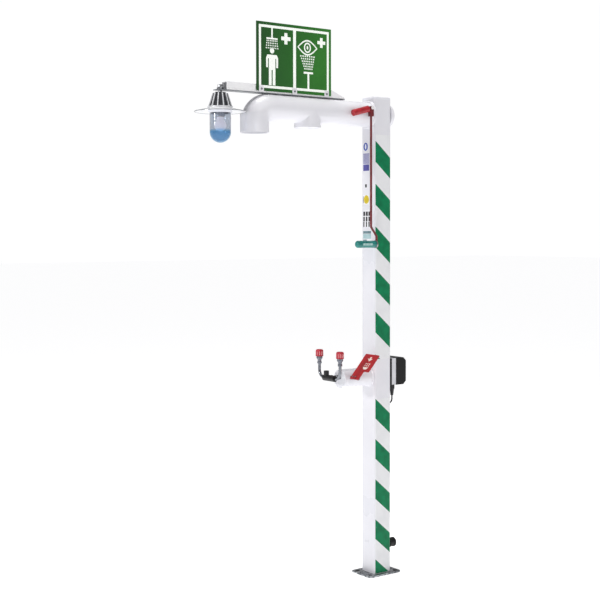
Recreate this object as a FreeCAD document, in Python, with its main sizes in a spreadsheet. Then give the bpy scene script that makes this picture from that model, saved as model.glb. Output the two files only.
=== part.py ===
import FreeCAD, Part
import math
import os
import re
from types import SimpleNamespace

import Sketcher
from FreeCAD import Placement, Rotation, Vector

# Emergency safety shower with eyewash: a square insulated column bolted to the floor, a round
# insulated arm on top with the shower outlet, a sign and a lamp on a rail above the arm, an
# eyewash on a short branch, and a trace-heating junction box on the back.
# Origin: column axis at the underside of the floor plate. +Z up, -Y is the user's side.

SIZES = {
    # floor plate and its foot socket
    "plate_wide": 150, "plate_deep": 200, "plate_thick": 8, "plate_corner": 14,
    "bolt_radius": 7, "bolt_across": 100, "bolt_along": 156,
    "foot_radius": 30, "foot_high": 60,
    # clearances used all over: fixed pieces, shafts, and how far a cutting tool overshoots
    "fit_gap": 0.2, "run_gap": 0.05, "over": 1,
    # column jacket
    "column_side": 104, "column_corner": 13, "column_wall": 4, "column_top": 2331,
    "top_cap_high": 14, "top_cap_round": 5, "skirt_high": 12, "foam_low": 80, "foam_top": 2205,
    "arm_port": 46, "port_gap": 3, "chase_wide": 14, "chase_spare": 20,
    # steel pipework
    "riser_radius": 21.2, "pipe_wall": 3.2, "riser_low": 12, "fitting_radius": 28,
    "fitting_half": 34,
    # supply inlet at the back
    "inlet_height": 135, "inlet_radius": 23.5, "inlet_clear": 25, "inlet_long": 36,
    "inlet_bore": 19.5, "inlet_thread": 24, "nipple_radius": 16, "nipple_wall": 3,
    "nipple_proud": 35,
    # arm
    "arm_height": 2258, "arm_radius": 62, "arm_wall": 4.5, "stub_radius": 60, "stub_end": 210,
    "tee_end": 514, "boss_at": 419, "boss_radius": 62.5, "boss_low": 2177, "plug_thick": 12,
    "plug_gap": 0.1, "slot_long": 60, "slot_wide": 10, "slot_deep": 6, "outlet_bend": 40,
    "arm_foam_start": 260, "arm_foam_long": 380, "boss_clear": 70, "boss_ceiling": 56,
    "outlet_at": 718, "elbow_bend": 66, "socket_radius": 66, "socket_top": 2230,
    "socket_low": 2141, "collar_radius": 67, "collar_thick": 9, "collar_bevel": 4,
    "back_cap_radius": 59, "back_cap_thick": 20, "back_cap_bevel": 8,
    "rose_radius": 56, "rose_thick": 7, "rose_low": 2152, "rose_hole": 1.6, "rose_face": 4,
    "rose_neck": 12.8,
    # rail, sign and lamp
    "rail_side": 40, "rail_wall": 2, "rail_low": 2320.4, "rail_start": 212, "rail_end": 880,
    "tongue_end": 926, "tongue_thick": 4, "tongue_lip": 1, "tongue_hole": 8.3, "taper_start": 290,
    "taper_angle": 22, "saddle_wide": 30, "saddle_long": 24, "saddle_low": 50,
    "rail_screw": 6, "rail_screw_high": 5,
    "sign_wide": 426, "sign_high": 314, "sign_thick": 3, "sign_low": 2331, "sign_near": 298,
    "sign_gap": 2.2, "strip_wide": 26, "strip_inset": 14, "strip_drop": 6, "clip_thick": 1.5,
    "clip_high": 30, "sign_screw": 4.5, "sign_screw_high": 3, "sign_screw_up": 8,
    "lamp_at": 902, "canopy_top": 2312, "canopy_low": 2249, "canopy_wide": 55,
    "canopy_narrow": 35.5, "fin_thick": 5, "reflector_radius": 116.5, "glass_radius": 47.5,
    "glass_wall": 3, "glass_top": 2226, "glass_low": 2087, "bulb_radius": 30,
    "bulb_height": 2157, "hanger_radius": 8, "hanger_bore": 5, "hanger_high": 22,
    "lamp_nut": 15, "lamp_nut_high": 9, "gland_round": 11, "gland_high": 13, "fin_depth": 10,
    "canopy_wall": 6, "flange_high": 8, "reflector_height": 2224, "dish_radius": 50,
    "collar_round": 53, "collar_high": 16.5, "holder_radius": 19, "holder_low": 2204,
    "holder_high": 48, "bulb_cap": 13, "bulb_cap_high": 25,
    # drench valve, its lever and the pull rod
    "lever_at": 192, "lever_side": 82, "lever_angle": 15, "lever_reach": 95,
    "sleeve_radius": 15.5, "sleeve_long": 96, "core_radius": 7, "stem_radius": 7, "ball_radius": 22,
    "ball_bore": 15, "valve_radius": 31, "valve_half": 42, "ball_gap": 0.4,
    "core_start": 14, "sleeve_start": 18, "tongue_from": 78.2, "boss_wall": 5, "boss_reach": 52,
    "pin_radius": 4, "pin_head": 8, "pin_head_thick": 3, "pin_play": 0.6,
    "clevis_half": 11, "clevis_deep": 10, "clevis_low": 40, "clevis_top": 8, "slot_low": 12,
    "eye_radius": 8, "eye_half": 4, "rod_radius": 5.5, "jog_top": 1712,
    "jog_low": 1668, "jog_back": 34, "jog_bend": 20, "grip_height": 1629, "grip_bend": 8,
    "grip_radius": 17.5, "grip_start": 76, "grip_end": 176, "grip_tip": 191, "rod_tip": 150,
    "ferrule_radius": 19, "ferrule_flange": 6, "ferrule_long": 8,
    # eyewash
    "branch_height": 979, "branch_radius": 45, "branch_wall": 3.5, "branch_end": 222,
    "ring_radius": 50, "wash_height": 987, "wash_radius": 13.4, "wash_wall": 2.6,
    "wash_at": 190, "wash_ball": 15, "wash_bore": 9, "wash_valve": 21, "wash_half": 26,
    "wash_stem": 6, "wash_boss": 34, "wash_nipple": 11, "wash_nipple_bore": 8.5,
    "branch_cap": 7, "ring_foot": 5, "ring_high": 9, "strainer_at": 26, "strainer_radius": 13,
    "strainer_high": 34, "manifold_bore": 6.2,
    "manifold_at": 289, "manifold_radius": 15, "manifold_half": 42,
    "hose_radius": 7.2, "hose_wall": 1, "hose_bend": 36, "nozzle_half": 81, "disc_radius": 10.9,
    "disc_thick": 5, "disc_down": 8, "cap_gap": 0.5, "cap_rest": 0.4,
    "nozzle_low": 1062, "nozzle_top": 1098, "nozzle_radius": 15, "cap_radius": 19,
    "cap_low": 1087, "cap_top": 1120,
    # push plate
    "flag_angle": 48, "flag_near": 52, "flag_wide": 102, "tab_wide": 65, "tab_reach": 14,
    "tab_long": 36, "flag_long": 138, "flag_thick": 3, "flag_corner": 5, "hub_radius": 9,
    "hub_long": 46, "flag_screw": 4, "flag_screw_high": 2.5,
    # junction box on the back
    "box_side": 100, "box_deep": 34, "box_low": 934, "box_high": 130, "cover_side": 104,
    "cover_deep": 65, "cover_low": 932, "cover_high": 134, "cover_chamfer": 16, "cover_round": 4,
    "box_wall": 3, "cover_wall": 4, "cover_screw": 4, "cover_screw_high": 1.8,
    "screw_across": 38, "screw_along": 42, "terminal_wide": 60, "terminal_deep": 24,
    "terminal_high": 40, "terminal_up": 50,
    "gland_across": 34, "gland_back": 73, "gland_radius": 13, "gland_nut": 22, "gland_hole": 8,
    "gland_low": 880, "bush_wall": 2.4, "bush_gap": 0.3, "bush_proud": 1.5,
    "cable_radius": 3.5, "cable_turn": 842, "cable_inside": 28, "cable_bend_out": 21,
    "cable_bend_in": 20, "cable_in_box": 20, "cable_top": 2190,
    # tape and labels on the jacket
    "tape_thick": 0.4, "tape_start": 46, "tape_top": 2160, "tape_break_top": 1067,
    "tape_break_low": 872, "tape_low": 10,
}

doc = FreeCAD.newDocument("EmergencyShower")
sheet = doc.addObject("Spreadsheet::Sheet", "Sizes")
for row, (alias, number) in enumerate(SIZES.items(), 1):
    sheet.set(f"A{row}", alias)
    sheet.set(f"B{row}", str(number))
    sheet.setAlias(f"B{row}", alias)
doc.recompute()
d = SimpleNamespace(**{alias: float(sheet.get(alias)) for alias in SIZES})
nodes = []


def bound(formula):
    """A formula over the sheet's aliases, in the form that setExpression reads."""
    return re.sub(r"[a-z_]+", lambda word: "Sizes." + word.group() if word.group() in SIZES
                  else word.group(), str(formula))


TURNS = {
    "+Z": Rotation(), "-Z": Rotation(Vector(1, 0, 0), 180),
    "+X": Rotation(Vector(0, 1, 0), 90), "-X": Rotation(Vector(0, 1, 0), -90),
    "+Y": Rotation(Vector(1, 0, 0), -90), "-Y": Rotation(Vector(1, 0, 0), 90),
}


def at(x, y, z, way="+Z"):
    """A placement whose own Z axis points the given way."""
    return Placement(Vector(x, y, z), TURNS[way])


def primitive(kind, name, place, **formulas):
    made = doc.addObject("Part::" + kind, name)
    for size, formula in formulas.items():
        made.setExpression(size, bound(formula))
    made.Placement = place
    return made


def rod(name, place, radius, length):
    return primitive("Cylinder", name, place, Radius=radius, Height=length)


def cone(name, place, low, top, length):
    return primitive("Cone", name, place, Radius1=low, Radius2=top, Height=length)


def ball(name, place, radius):
    return primitive("Sphere", name, place, Radius=radius)


def slab(name, corner, wide, deep, high, turn=Rotation()):
    """A plain box from its lowest corner."""
    return primitive("Box", name, Placement(Vector(*corner), turn), Length=wide, Width=deep,
                     Height=high)


def fused(name, *shapes):
    made = doc.addObject("Part::MultiFuse", name)
    made.Shapes = list(shapes)
    return made


def cut(name, base, *tools):
    made = doc.addObject("Part::Cut", name)
    made.Base = base
    made.Tool = tools[0] if len(tools) == 1 else fused(name + "_tools", *tools)
    return made


def common(name, base, tool):
    made = doc.addObject("Part::Common", name)
    made.Base, made.Tool = base, tool
    return made


def group(name, *shapes):
    """Several separate solids in one node."""
    made = doc.addObject("Part::Compound", name)
    made.Links = list(shapes)
    return made


def tube(name, place, radius, bore, length):
    return cut(name, rod(name + "_outside", place, radius, length),
               rod(name + "_inside", place, bore, length))


def node(made, label=None):
    """Marks an object as a finished sub-part, which is written to a file of its own."""
    made.Label = label or made.Name
    nodes.append(made)
    return made


def outline(body, plane, corners):
    """A closed sketch of straight lines, each corner tied to the sheet by two formulas."""
    sketch = body.newObject("Sketcher::SketchObject", body.Name + "_sketch")
    base = [f for f in body.Origin.OriginFeatures if f.Role == plane][0]
    sketch.AttachmentSupport, sketch.MapMode = [(base, "")], "FlatFace"
    count = len(corners)
    ring = [Vector(100 * math.cos(2 * math.pi * i / count), 100 * math.sin(2 * math.pi * i / count))
            for i in range(count)]
    for i in range(count):
        sketch.addGeometry(Part.LineSegment(ring[i], ring[(i + 1) % count]))
    for i in range(count):
        sketch.addConstraint(Sketcher.Constraint("Coincident", i, 2, (i + 1) % count, 1))
    for i, corner in enumerate(corners):
        for way, formula, axis in (("DistanceX", corner[0], -2), ("DistanceY", corner[1], -1)):
            if formula == 0:
                sketch.addConstraint(Sketcher.Constraint("PointOnObject", i, 1, axis))
                continue
            label = f"{way}{i}"
            index = sketch.addConstraint(Sketcher.Constraint(way, -1, 1, i, 1, 50.0))
            sketch.renameConstraint(index, label)
            sketch.setExpression("Constraints." + label, bound(formula))
    return sketch


def new_body(name, place):
    body = doc.addObject("PartDesign::Body", name)
    body.Placement = place
    return body


def turned(name, place, corners):
    """A lathe-turned body: corners are (radius, height) about its own Z axis."""
    body = new_body(name, place)
    sketch = outline(body, "XZ_Plane", corners)
    turn = body.newObject("PartDesign::Revolution", name + "_turn")
    turn.Profile = sketch
    turn.ReferenceAxis = (sketch, ["V_Axis"])
    turn.Angle = 360
    return body


def padded(name, place, plane, corners, length, middle=False):
    body = new_body(name, place)
    pad = body.newObject("PartDesign::Pad", name + "_pad")
    pad.Profile = outline(body, plane, corners)
    pad.setExpression("Length", bound(length))
    pad.Midplane = middle
    return body


def rounded(body, radius, wanted):
    """Fillets the edges of the body that the test picks."""
    doc.recompute()
    base = body.Tip
    edges = [f"Edge{i}" for i, edge in enumerate(base.Shape.Edges, 1) if wanted(edge)]
    fillet = body.newObject("PartDesign::Fillet", body.Name + "_round")
    fillet.Base = (base, edges)
    fillet.setExpression("Radius", bound(radius))
    return body


def upright(edge):
    return edge.Vertexes[0].Point.sub(edge.Vertexes[-1].Point).cross(Vector(0, 0, 1)).Length < 1e-6


def post(name, place, wide, deep, high, corner):
    """A rectangular post centred on its own Z axis, with round upright edges."""
    half = (f"({wide}) / 2", f"({deep}) / 2")
    corners = [(half[0], half[1]), ("-" + half[0], half[1]), ("-" + half[0], "-" + half[1]),
               (half[0], "-" + half[1])]
    return rounded(padded(name, place, "XY_Plane", corners, high), corner, upright)


def bent(name, points, bends, radius, bore=None):
    """A rod or tube along straight runs joined by tangent arcs."""
    edges, start = [], Vector(*points[0])
    for before, corner, after, bend in zip(points, points[1:], points[2:], bends):
        before, corner, after = Vector(*before), Vector(*corner), Vector(*after)
        way_in, way_out = (corner - before).normalize(), (after - corner).normalize()
        half_turn = way_in.getAngle(way_out) / 2
        setback = bend * math.tan(half_turn)
        first, last = corner - way_in * setback, corner + way_out * setback
        bisector = (way_out - way_in).normalize()
        middle = corner + bisector * (bend / math.cos(half_turn) - bend)
        edges.append(Part.LineSegment(start, first).toShape())
        edges.append(Part.Arc(first, middle, last).toShape())
        start = last
    edges.append(Part.LineSegment(start, Vector(*points[-1])).toShape())
    path = Part.Wire(edges)

    def swept(size):
        way = Vector(*points[1]) - Vector(*points[0])
        ring = Part.Wire([Part.makeCircle(size, Vector(*points[0]), way)])
        return path.makePipeShell([ring], True, True)

    shape = swept(radius)
    expected = math.pi * radius ** 2 * path.Length
    assert abs(shape.Volume - expected) < 0.01 * expected, f"{name} is not a clean sweep"
    if bore:
        shape = shape.cut(swept(bore))
    made = doc.addObject("Part::Feature", name)
    made.Shape = shape
    return made


# ---- floor plate, foot socket and riser -------------------------------------------------

def floor_plate():
    plate = post("plate_blank", at(0, 0, 0), "plate_wide", "plate_deep", "plate_thick",
                 "plate_corner")
    holes = [rod(f"bolt_hole_{i}", at(x * d.bolt_across / 2, y * d.bolt_along / 2, -d.over),
                 "bolt_radius", "plate_thick + 2 * over")
             for i, (x, y) in enumerate([(1, 1), (-1, 1), (-1, -1), (1, -1)])]
    foot = tube("foot_socket", at(0, 0, d.plate_thick), "foot_radius",
                "riser_radius + run_gap", "foot_high")
    node(fused("base_plate", cut("drilled_plate", plate, *holes), foot))


def riser():
    pipe = tube("riser_blank", at(0, 0, d.riser_low), "riser_radius", "riser_radius - pipe_wall",
                "arm_height - fitting_half - riser_low")
    ports = [rod("riser_inlet_port", at(0, 0, d.inlet_height, "+Y"), "nipple_radius - nipple_wall",
                 "riser_radius + over"),
             rod("riser_wash_port", at(0, 0, d.wash_height, "-Y"), "wash_radius - wash_wall",
                 "riser_radius + over")]
    nipple = tube("inlet_nipple", at(0, d.riser_radius - d.over, d.inlet_height, "+Y"),
                  "nipple_radius", "nipple_radius - nipple_wall",
                  "column_side / 2 - riser_radius + nipple_proud")
    node(fused("riser_pipe", cut("ported_riser", pipe, *ports), cut(
        "nipple_end", nipple, rod("riser_clear_way", at(0, 0, 0), "riser_radius - pipe_wall",
                                  "inlet_height + foot_high"))))
    body = fused("top_elbow_body",
                 rod("elbow_leg_out", at(0, 0, d.arm_height, "-Y"), "fitting_radius",
                     "fitting_half"),
                 rod("elbow_leg_up", at(0, 0, d.arm_height - d.fitting_half), "fitting_radius",
                     "fitting_half"),
                 ball("elbow_back", at(0, 0, d.arm_height), "fitting_radius"))
    node(cut("riser_top_elbow", body,
             rod("elbow_out_bore", at(0, 0, d.arm_height, "-Y"), "riser_radius - pipe_wall",
                 "fitting_half"),
             rod("elbow_up_bore", at(0, 0, d.arm_height - d.fitting_half),
                 "riser_radius - pipe_wall", "fitting_half"),
             ball("elbow_back_bore", at(0, 0, d.arm_height), "riser_radius - pipe_wall")))


def supply_inlet():
    near = d.column_side / 2 + d.inlet_clear
    lip = near + d.inlet_long - d.inlet_thread
    node(cut("inlet_socket",
             rod("inlet_blank", at(0, near, d.inlet_height, "+Y"), "inlet_radius", "inlet_long"),
             rod("inlet_thread_bore", at(0, lip, d.inlet_height, "+Y"), "inlet_bore",
                 "inlet_thread"),
             rod("inlet_back_bore", at(0, near, d.inlet_height, "+Y"),
                 "nipple_radius + run_gap", "inlet_long")))


# ---- column jacket, insulation and cap ----------------------------------------------------

def column():
    outside = post("jacket_outside", at(0, 0, d.plate_thick), "column_side", "column_side",
                   "column_top - plate_thick", "column_corner")
    inside = post("jacket_inside", at(0, 0, d.plate_thick - d.over), "column_side - 2 * column_wall",
                  "column_side - 2 * column_wall", "column_top", "column_corner - column_wall")
    through = "column_side"
    ports = [
        rod("arm_port", at(0, 0, d.arm_height, "-Y"), "arm_port", through),
        rod("back_port", at(0, 0, d.arm_height, "+Y"), "arm_port", through),
        rod("wash_port", at(0, 0, d.wash_height, "-Y"), "wash_radius + port_gap", through),
        rod("inlet_port", at(0, 0, d.inlet_height, "+Y"), "nipple_radius + over", through),
        rod("cable_port", at(d.gland_across, 0, d.cable_turn, "+Y"),
            "cable_radius + bush_wall + 0.1", through),
    ]
    node(cut("column_jacket", outside, inside, *ports))

    cap_blank = post("cap_blank", at(0, 0, d.column_top), "column_side", "column_side",
                     "top_cap_high", "column_corner")
    rounded(cap_blank, "top_cap_round",
            lambda e: min(v.Z for v in e.Vertexes) > d.top_cap_high - 0.01)
    inside_wide = "column_side - 2 * column_wall - 2 * fit_gap"
    skirt = post("cap_skirt", at(0, 0, d.column_top - d.skirt_high), inside_wide, inside_wide,
                 "skirt_high", "column_corner - column_wall")
    node(fused("column_top_cap", cap_blank, skirt))

    core = post("foam_blank", at(0, 0, d.foam_low), inside_wide, inside_wide,
                "foam_top - foam_low", "column_corner - column_wall")
    chase_deep = d.column_side / 2 - d.cable_inside + d.cable_radius + d.port_gap
    voids = [
        rod("foam_riser_way", at(0, 0, 0), "riser_radius + fit_gap", "column_top"),
        rod("foam_wash_way", at(0, 0, d.wash_height, "-Y"), "wash_radius + fit_gap", through),
        rod("foam_inlet_way", at(0, 0, d.inlet_height, "+Y"), "nipple_radius + fit_gap", through),
        slab("foam_cable_chase", (d.gland_across - d.chase_wide / 2,
                                  d.column_side / 2 - chase_deep, d.cable_turn - d.chase_spare),
             "chase_wide", chase_deep, "foam_top"),
    ]
    node(cut("column_foam", core, *voids))


# ---- arm ---------------------------------------------------------------------------------

def arm_pipework():
    near_long = d.lever_at - d.valve_half - d.fitting_half
    near = tube("arm_pipe_near", at(0, -d.fitting_half, d.arm_height, "-Y"), "riser_radius",
                "riser_radius - pipe_wall", near_long)
    far = d.lever_at + d.valve_half
    drop = d.outlet_at
    z = d.arm_height
    rose_top = d.rose_low + d.rose_thick + d.rose_neck + d.fit_gap
    far_pipe = bent("arm_pipe_far", [(0, -far, z), (0, -drop, z), (0, -drop, rose_top)],
                    [d.outlet_bend], d.riser_radius, d.riser_radius - d.pipe_wall)
    node(group("arm_pipes", near, far_pipe))


def arm_jackets():
    z = d.arm_height
    face = d.column_side / 2
    node(turned("arm_collar", at(0, -face, z, "-Y"), [
        ("stub_radius + run_gap", 0), ("collar_radius", 0), ("collar_radius", "collar_thick - collar_bevel"),
        ("collar_radius - collar_bevel", "collar_thick"), ("stub_radius + run_gap", "collar_thick")]))
    stub = tube("stub_blank", at(0, -face, z, "-Y"), "stub_radius", "stub_radius - arm_wall",
                "stub_end - column_side / 2")
    node(cut("arm_stub", stub, rod("stub_stem_way", at(0, -d.lever_at, z, "+X"),
                                   "stem_radius + port_gap + over", "lever_side")))

    run = fused("tee_outside",
                rod("tee_barrel", at(0, -d.stub_end, z, "-Y"), "arm_radius",
                    "tee_end - stub_end"),
                rod("tee_boss", at(0, -d.boss_at, d.boss_low), "boss_radius",
                    "arm_height - boss_low"))
    node(cut("arm_tee", run,
             rod("tee_barrel_bore", at(0, -d.stub_end, z, "-Y"), "arm_radius - arm_wall",
                 "tee_end - stub_end"),
             rod("tee_boss_bore", at(0, -d.boss_at, d.boss_low), "boss_radius - arm_wall",
                 "arm_height - boss_low")))
    plug = rod("plug_blank", at(0, -d.boss_at, d.boss_low + 1), "boss_radius - arm_wall - plug_gap",
               "plug_thick")
    grip_way = slab("plug_slot", (-d.slot_long / 2, -d.boss_at - d.slot_wide / 2, d.boss_low),
                    "slot_long", "slot_wide", "slot_deep + 1")
    node(cut("tee_plug", plug, grip_way))

    bend_centre = (0, -d.outlet_at + d.elbow_bend, z - d.elbow_bend)
    quarter = Rotation(Vector(0, 0, 1), Vector(0, -1, 0), Vector(1, 0, 0), "XYZ")

    def elbow(name, radius, socket, socket_high):
        bend = primitive("Torus", name + "_bend", Placement(Vector(*bend_centre), quarter),
                         Radius1="elbow_bend", Radius2=radius)
        bend.Angle3 = 90
        return fused(name, bend,
                     rod(name + "_run", at(0, -d.tee_end, z, "-Y"), radius,
                         "outlet_at - elbow_bend - tee_end"),
                     rod(name + "_socket", at(0, -d.outlet_at, d.socket_low), socket,
                         socket_high))

    node(cut("arm_elbow",
             elbow("elbow_outside", "arm_radius", "socket_radius", "socket_top - socket_low"),
             elbow("elbow_inside", "arm_radius - arm_wall", "socket_radius - arm_wall",
                   "arm_height - elbow_bend - socket_low")))
    start = at(0, -d.arm_foam_start, z, "-Y")
    clear = d.boss_clear
    node(cut("arm_foam",
             rod("arm_foam_blank", start, "arm_radius - arm_wall - fit_gap", "arm_foam_long"),
             rod("foam_pipe_way", start, "riser_radius + fit_gap", "arm_foam_long + over"),
             slab("arm_foam_boss_way", (-clear, -d.boss_at - clear, z - clear), 2 * clear,
                  2 * clear, "boss_clear - boss_ceiling")))
    node(turned("back_cap", at(0, face, z, "+Y"), [
        (0, 0), ("back_cap_radius", 0), ("back_cap_radius", "back_cap_thick - back_cap_bevel"),
        ("back_cap_radius - back_cap_bevel / 3", "back_cap_thick - back_cap_bevel / 3"),
        ("back_cap_radius - back_cap_bevel", "back_cap_thick"), (0, "back_cap_thick")]))


def shower_rose():
    z = d.rose_low
    disc = rod("rose_disc", at(0, -d.outlet_at, z), "rose_radius", "rose_thick")
    neck = cone("rose_neck", at(0, -d.outlet_at, z + d.rose_thick), "rose_radius - 8",
                "riser_radius", "rose_neck")
    jets = [rod("rose_centre_jet", at(0, -d.outlet_at, z - d.over), "rose_hole",
                "rose_face + over")]
    for ring, count in ((16, 6), (30, 12), (44, 18)):
        for i in range(count):
            angle = 2 * math.pi * i / count
            jets.append(rod(f"rose_jet_{ring}_{i}",
                            at(ring * math.cos(angle), ring * math.sin(angle) - d.outlet_at,
                               z - d.over), "rose_hole", "rose_face + over"))
    node(cut("shower_rose", fused("rose_blank", disc, neck), *jets))


# ---- rail, sign and lamp -------------------------------------------------------------------

def support_rail():
    side, wall, low = d.rail_side, d.rail_wall, d.rail_low
    beam = slab("rail_blank", (-side / 2, -d.rail_end, low), "rail_side", "rail_end - rail_start",
                "rail_side")
    inner = slab("rail_hollow", (-side / 2 + wall, -d.rail_end - d.over, low + wall),
                 "rail_side - 2 * rail_wall", "rail_end - rail_start + 2 * over",
                 "rail_side - 2 * rail_wall")
    taper = slab("rail_taper", (-side, -d.taper_start, low + side), "2 * rail_side",
                 "3 * rail_side", "2 * rail_side", Rotation(Vector(1, 0, 0), -d.taper_angle))
    tongue = slab("rail_tongue", (-side / 2 - d.tongue_lip, -d.tongue_end, low),
                  "rail_side + 2 * tongue_lip", "tongue_end - rail_start", "tongue_thick")
    hole = rod("tongue_hole", at(0, -d.lamp_at, low - d.over), "tongue_hole",
               "tongue_thick + 2 * over")
    node(cut("support_rail", fused("rail_body", cut("rail_tube", beam, inner, taper), tongue),
             hole))
    saddles, screws = [], []
    for i, y in enumerate((-250, -470, -590)):
        foot = (-d.saddle_wide / 2, y - d.saddle_long / 2, d.arm_height + d.saddle_low)
        saddle = slab(f"saddle_blank_{i}", foot, "saddle_wide", "saddle_long",
                      "rail_low - arm_height - saddle_low")
        barrel = rod(f"saddle_arm_{i}", at(0, y - d.saddle_long, d.arm_height, "+Y"),
                     "arm_radius + run_gap", "2 * saddle_long")
        saddles.append(cut(f"saddle_{i}", saddle, barrel))
        screws.append(rod(f"rail_screw_{i}", at(0, y, low + d.tongue_thick), "rail_screw",
                          "rail_screw_high"))
    node(group("rail_saddles", *saddles, *screws))


def sign():
    face = d.rail_side / 2
    far = -d.sign_near - d.sign_wide
    panel = padded("sign_blank", at(face + d.sign_gap, far, d.sign_low), "YZ_Plane",
                   [("0.01", "0.01"), ("sign_wide", "0.01"), ("sign_wide", "sign_high"),
                    ("0.01", "sign_high")], "sign_thick")
    node(panel, "sign_panel")
    back, front = face + d.sign_gap, face + d.sign_gap + d.sign_thick
    low, half = d.sign_low - d.strip_drop, d.strip_wide / 2
    stiffeners, clips, screws = [], [], []
    middles = (far + d.strip_inset + half, far + d.sign_wide / 2,
               -d.sign_near - d.strip_inset - half)
    for i, y in enumerate(middles):
        stiffeners.append(slab(f"stiffener_{i}", (face, y - half, low), "sign_gap", "strip_wide",
                               "sign_high - strip_inset"))
        clips.append(fused(
            f"clip_{i}",
            slab(f"clip_plate_{i}", (front, y - half, low), "clip_thick", "strip_wide",
                 "clip_high"),
            slab(f"clip_foot_{i}", (back, y - half, low), "sign_thick", "strip_wide",
                 "strip_drop - fit_gap")))
        screws.append(rod(f"sign_screw_{i}",
                          at(front + d.clip_thick, y, d.sign_low + d.sign_screw_up, "+X"),
                          "sign_screw", "sign_screw_high"))
    node(group("sign_stiffeners", *stiffeners))
    node(group("sign_tabs", *clips))
    node(group("sign_screws", *screws))


def lamp():
    y = -d.lamp_at
    top = d.rail_low + d.tongue_thick
    stem = tube("lamp_stem", at(0, y, d.canopy_top + 0.5), "hanger_radius", "hanger_bore",
                top + d.hanger_high - d.canopy_top)
    nut = cut("lamp_nut",
              primitive("Prism", "lamp_nut_blank", at(0, y, top), Circumradius="lamp_nut",
                        Height="lamp_nut_high"),
              rod("nut_bore", at(0, y, top), "hanger_radius + run_gap", "lamp_nut_high"))
    node(group("lamp_hanger", stem, nut,
               tube("lamp_gland", at(0, y, top + d.lamp_nut_high + 0.5), "gland_round",
                    "hanger_radius + run_gap", "gland_high")))
    core = cone("canopy_core", at(0, y, d.canopy_low), "canopy_wide - fin_depth",
                "canopy_narrow - fin_depth", "canopy_top - canopy_low")
    skin = cone("canopy_skin", at(0, y, d.canopy_low), "canopy_wide", "canopy_narrow",
                "canopy_top - canopy_low - 4")
    fins = []
    for i in range(6):
        turn = Rotation(Vector(0, 0, 1), 30 * i + 15)
        corner = Vector(-d.canopy_wide, -d.fin_thick / 2, 0)
        place = turn.multVec(corner) + Vector(0, y, d.canopy_low)
        fins.append(slab(f"fin_{i}", tuple(place), "2 * canopy_wide", "fin_thick",
                         "canopy_top - canopy_low", turn))
    ribs = common("canopy_ribs", fused("fin_star", *fins), skin)
    under = at(0, y, d.canopy_low - d.flange_high)
    flange = rod("canopy_flange", under, "canopy_wide + 2", "flange_high")
    node(cut("lamp_canopy", fused("canopy_body", core, ribs, flange),
             cone("canopy_hollow", under, "canopy_wide - fin_depth - canopy_wall",
                  "canopy_narrow - fin_depth - canopy_wall",
                  "canopy_top - canopy_low + flange_high - 2 * canopy_wall"),
             rod("canopy_stem_hole", under, "hanger_bore", "canopy_top - canopy_low + 20")))
    rim = "reflector_radius"
    node(turned("lamp_reflector", at(0, y, d.reflector_height), [
        ("dish_radius", 14), (f"{rim} - 3", 2), (rim, "0.01"), (rim, 3), (f"{rim} - 2", "4.2"),
        ("dish_radius + 8", 16.8), ("dish_radius", 16.8)]))
    node(tube("lamp_collar", at(0, y, d.glass_top - 6), "collar_round", "glass_radius + fit_gap",
              "collar_high"))
    glass = [fused(f"glass_{part}",
                   rod(f"glass_{part}_wall", at(0, y, d.glass_low + d.glass_radius), size,
                       "glass_top - glass_low - glass_radius"),
                   ball(f"glass_{part}_dome", at(0, y, d.glass_low + d.glass_radius), size))
             for part, size in (("outside", "glass_radius"),
                                ("inside", "glass_radius - glass_wall"))]
    node(cut("lamp_glass", *glass))
    node(tube("lamp_holder", at(0, y, d.holder_low), "holder_radius", "bulb_cap + fit_gap",
              "holder_high"))
    neck_from, neck_high = 17, 30
    bulb = fused("bulb_blank", ball("bulb_globe", at(0, y, d.bulb_height), "bulb_radius"),
                 cone("bulb_neck", at(0, y, d.bulb_height + neck_from), "bulb_radius - 5.5",
                      "bulb_cap", neck_high),
                 rod("bulb_base", at(0, y, d.bulb_height + neck_from + neck_high), "bulb_cap",
                     "bulb_cap_high"))
    node(bulb, "lamp_bulb")


# ---- drench valve, lever and pull rod ----------------------------------------------------------

STEM_LAP = 3        # how deep a valve stem stands in the flat of its ball


def ball_valve(name, y, z, radius, half, ball_size, bore, stem, reach):
    """Valve body along Y with a round chamber, an open bore and a boss for the stem on +X."""
    body = fused(name + "_outside",
                 rod(name + "_barrel", at(0, y - half, z, "+Y"), radius, 2 * half),
                 rod(name + "_boss", at(0, y, z, "+X"), f"{stem} + boss_wall", reach))
    node(cut(name + "_body", body,
             rod(name + "_way", at(0, y - half, z, "+Y"), bore, 2 * half),
             ball(name + "_chamber", at(0, y, z, "+Y"), f"{ball_size} + ball_gap"),
             rod(name + "_stem_way", at(0, y, z, "+X"), f"{stem} + run_gap", reach)))
    size = getattr(d, ball_size)
    node(cut(name + "_ball", ball(name + "_ball_blank", at(0, y, z), ball_size),
             rod(name + "_ball_way", at(0, y, z - 2 * size), bore, 4 * size),
             slab(name + "_ball_flat", (size - STEM_LAP, y - size, z - size), size, 2 * size,
                  2 * size)))


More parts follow.
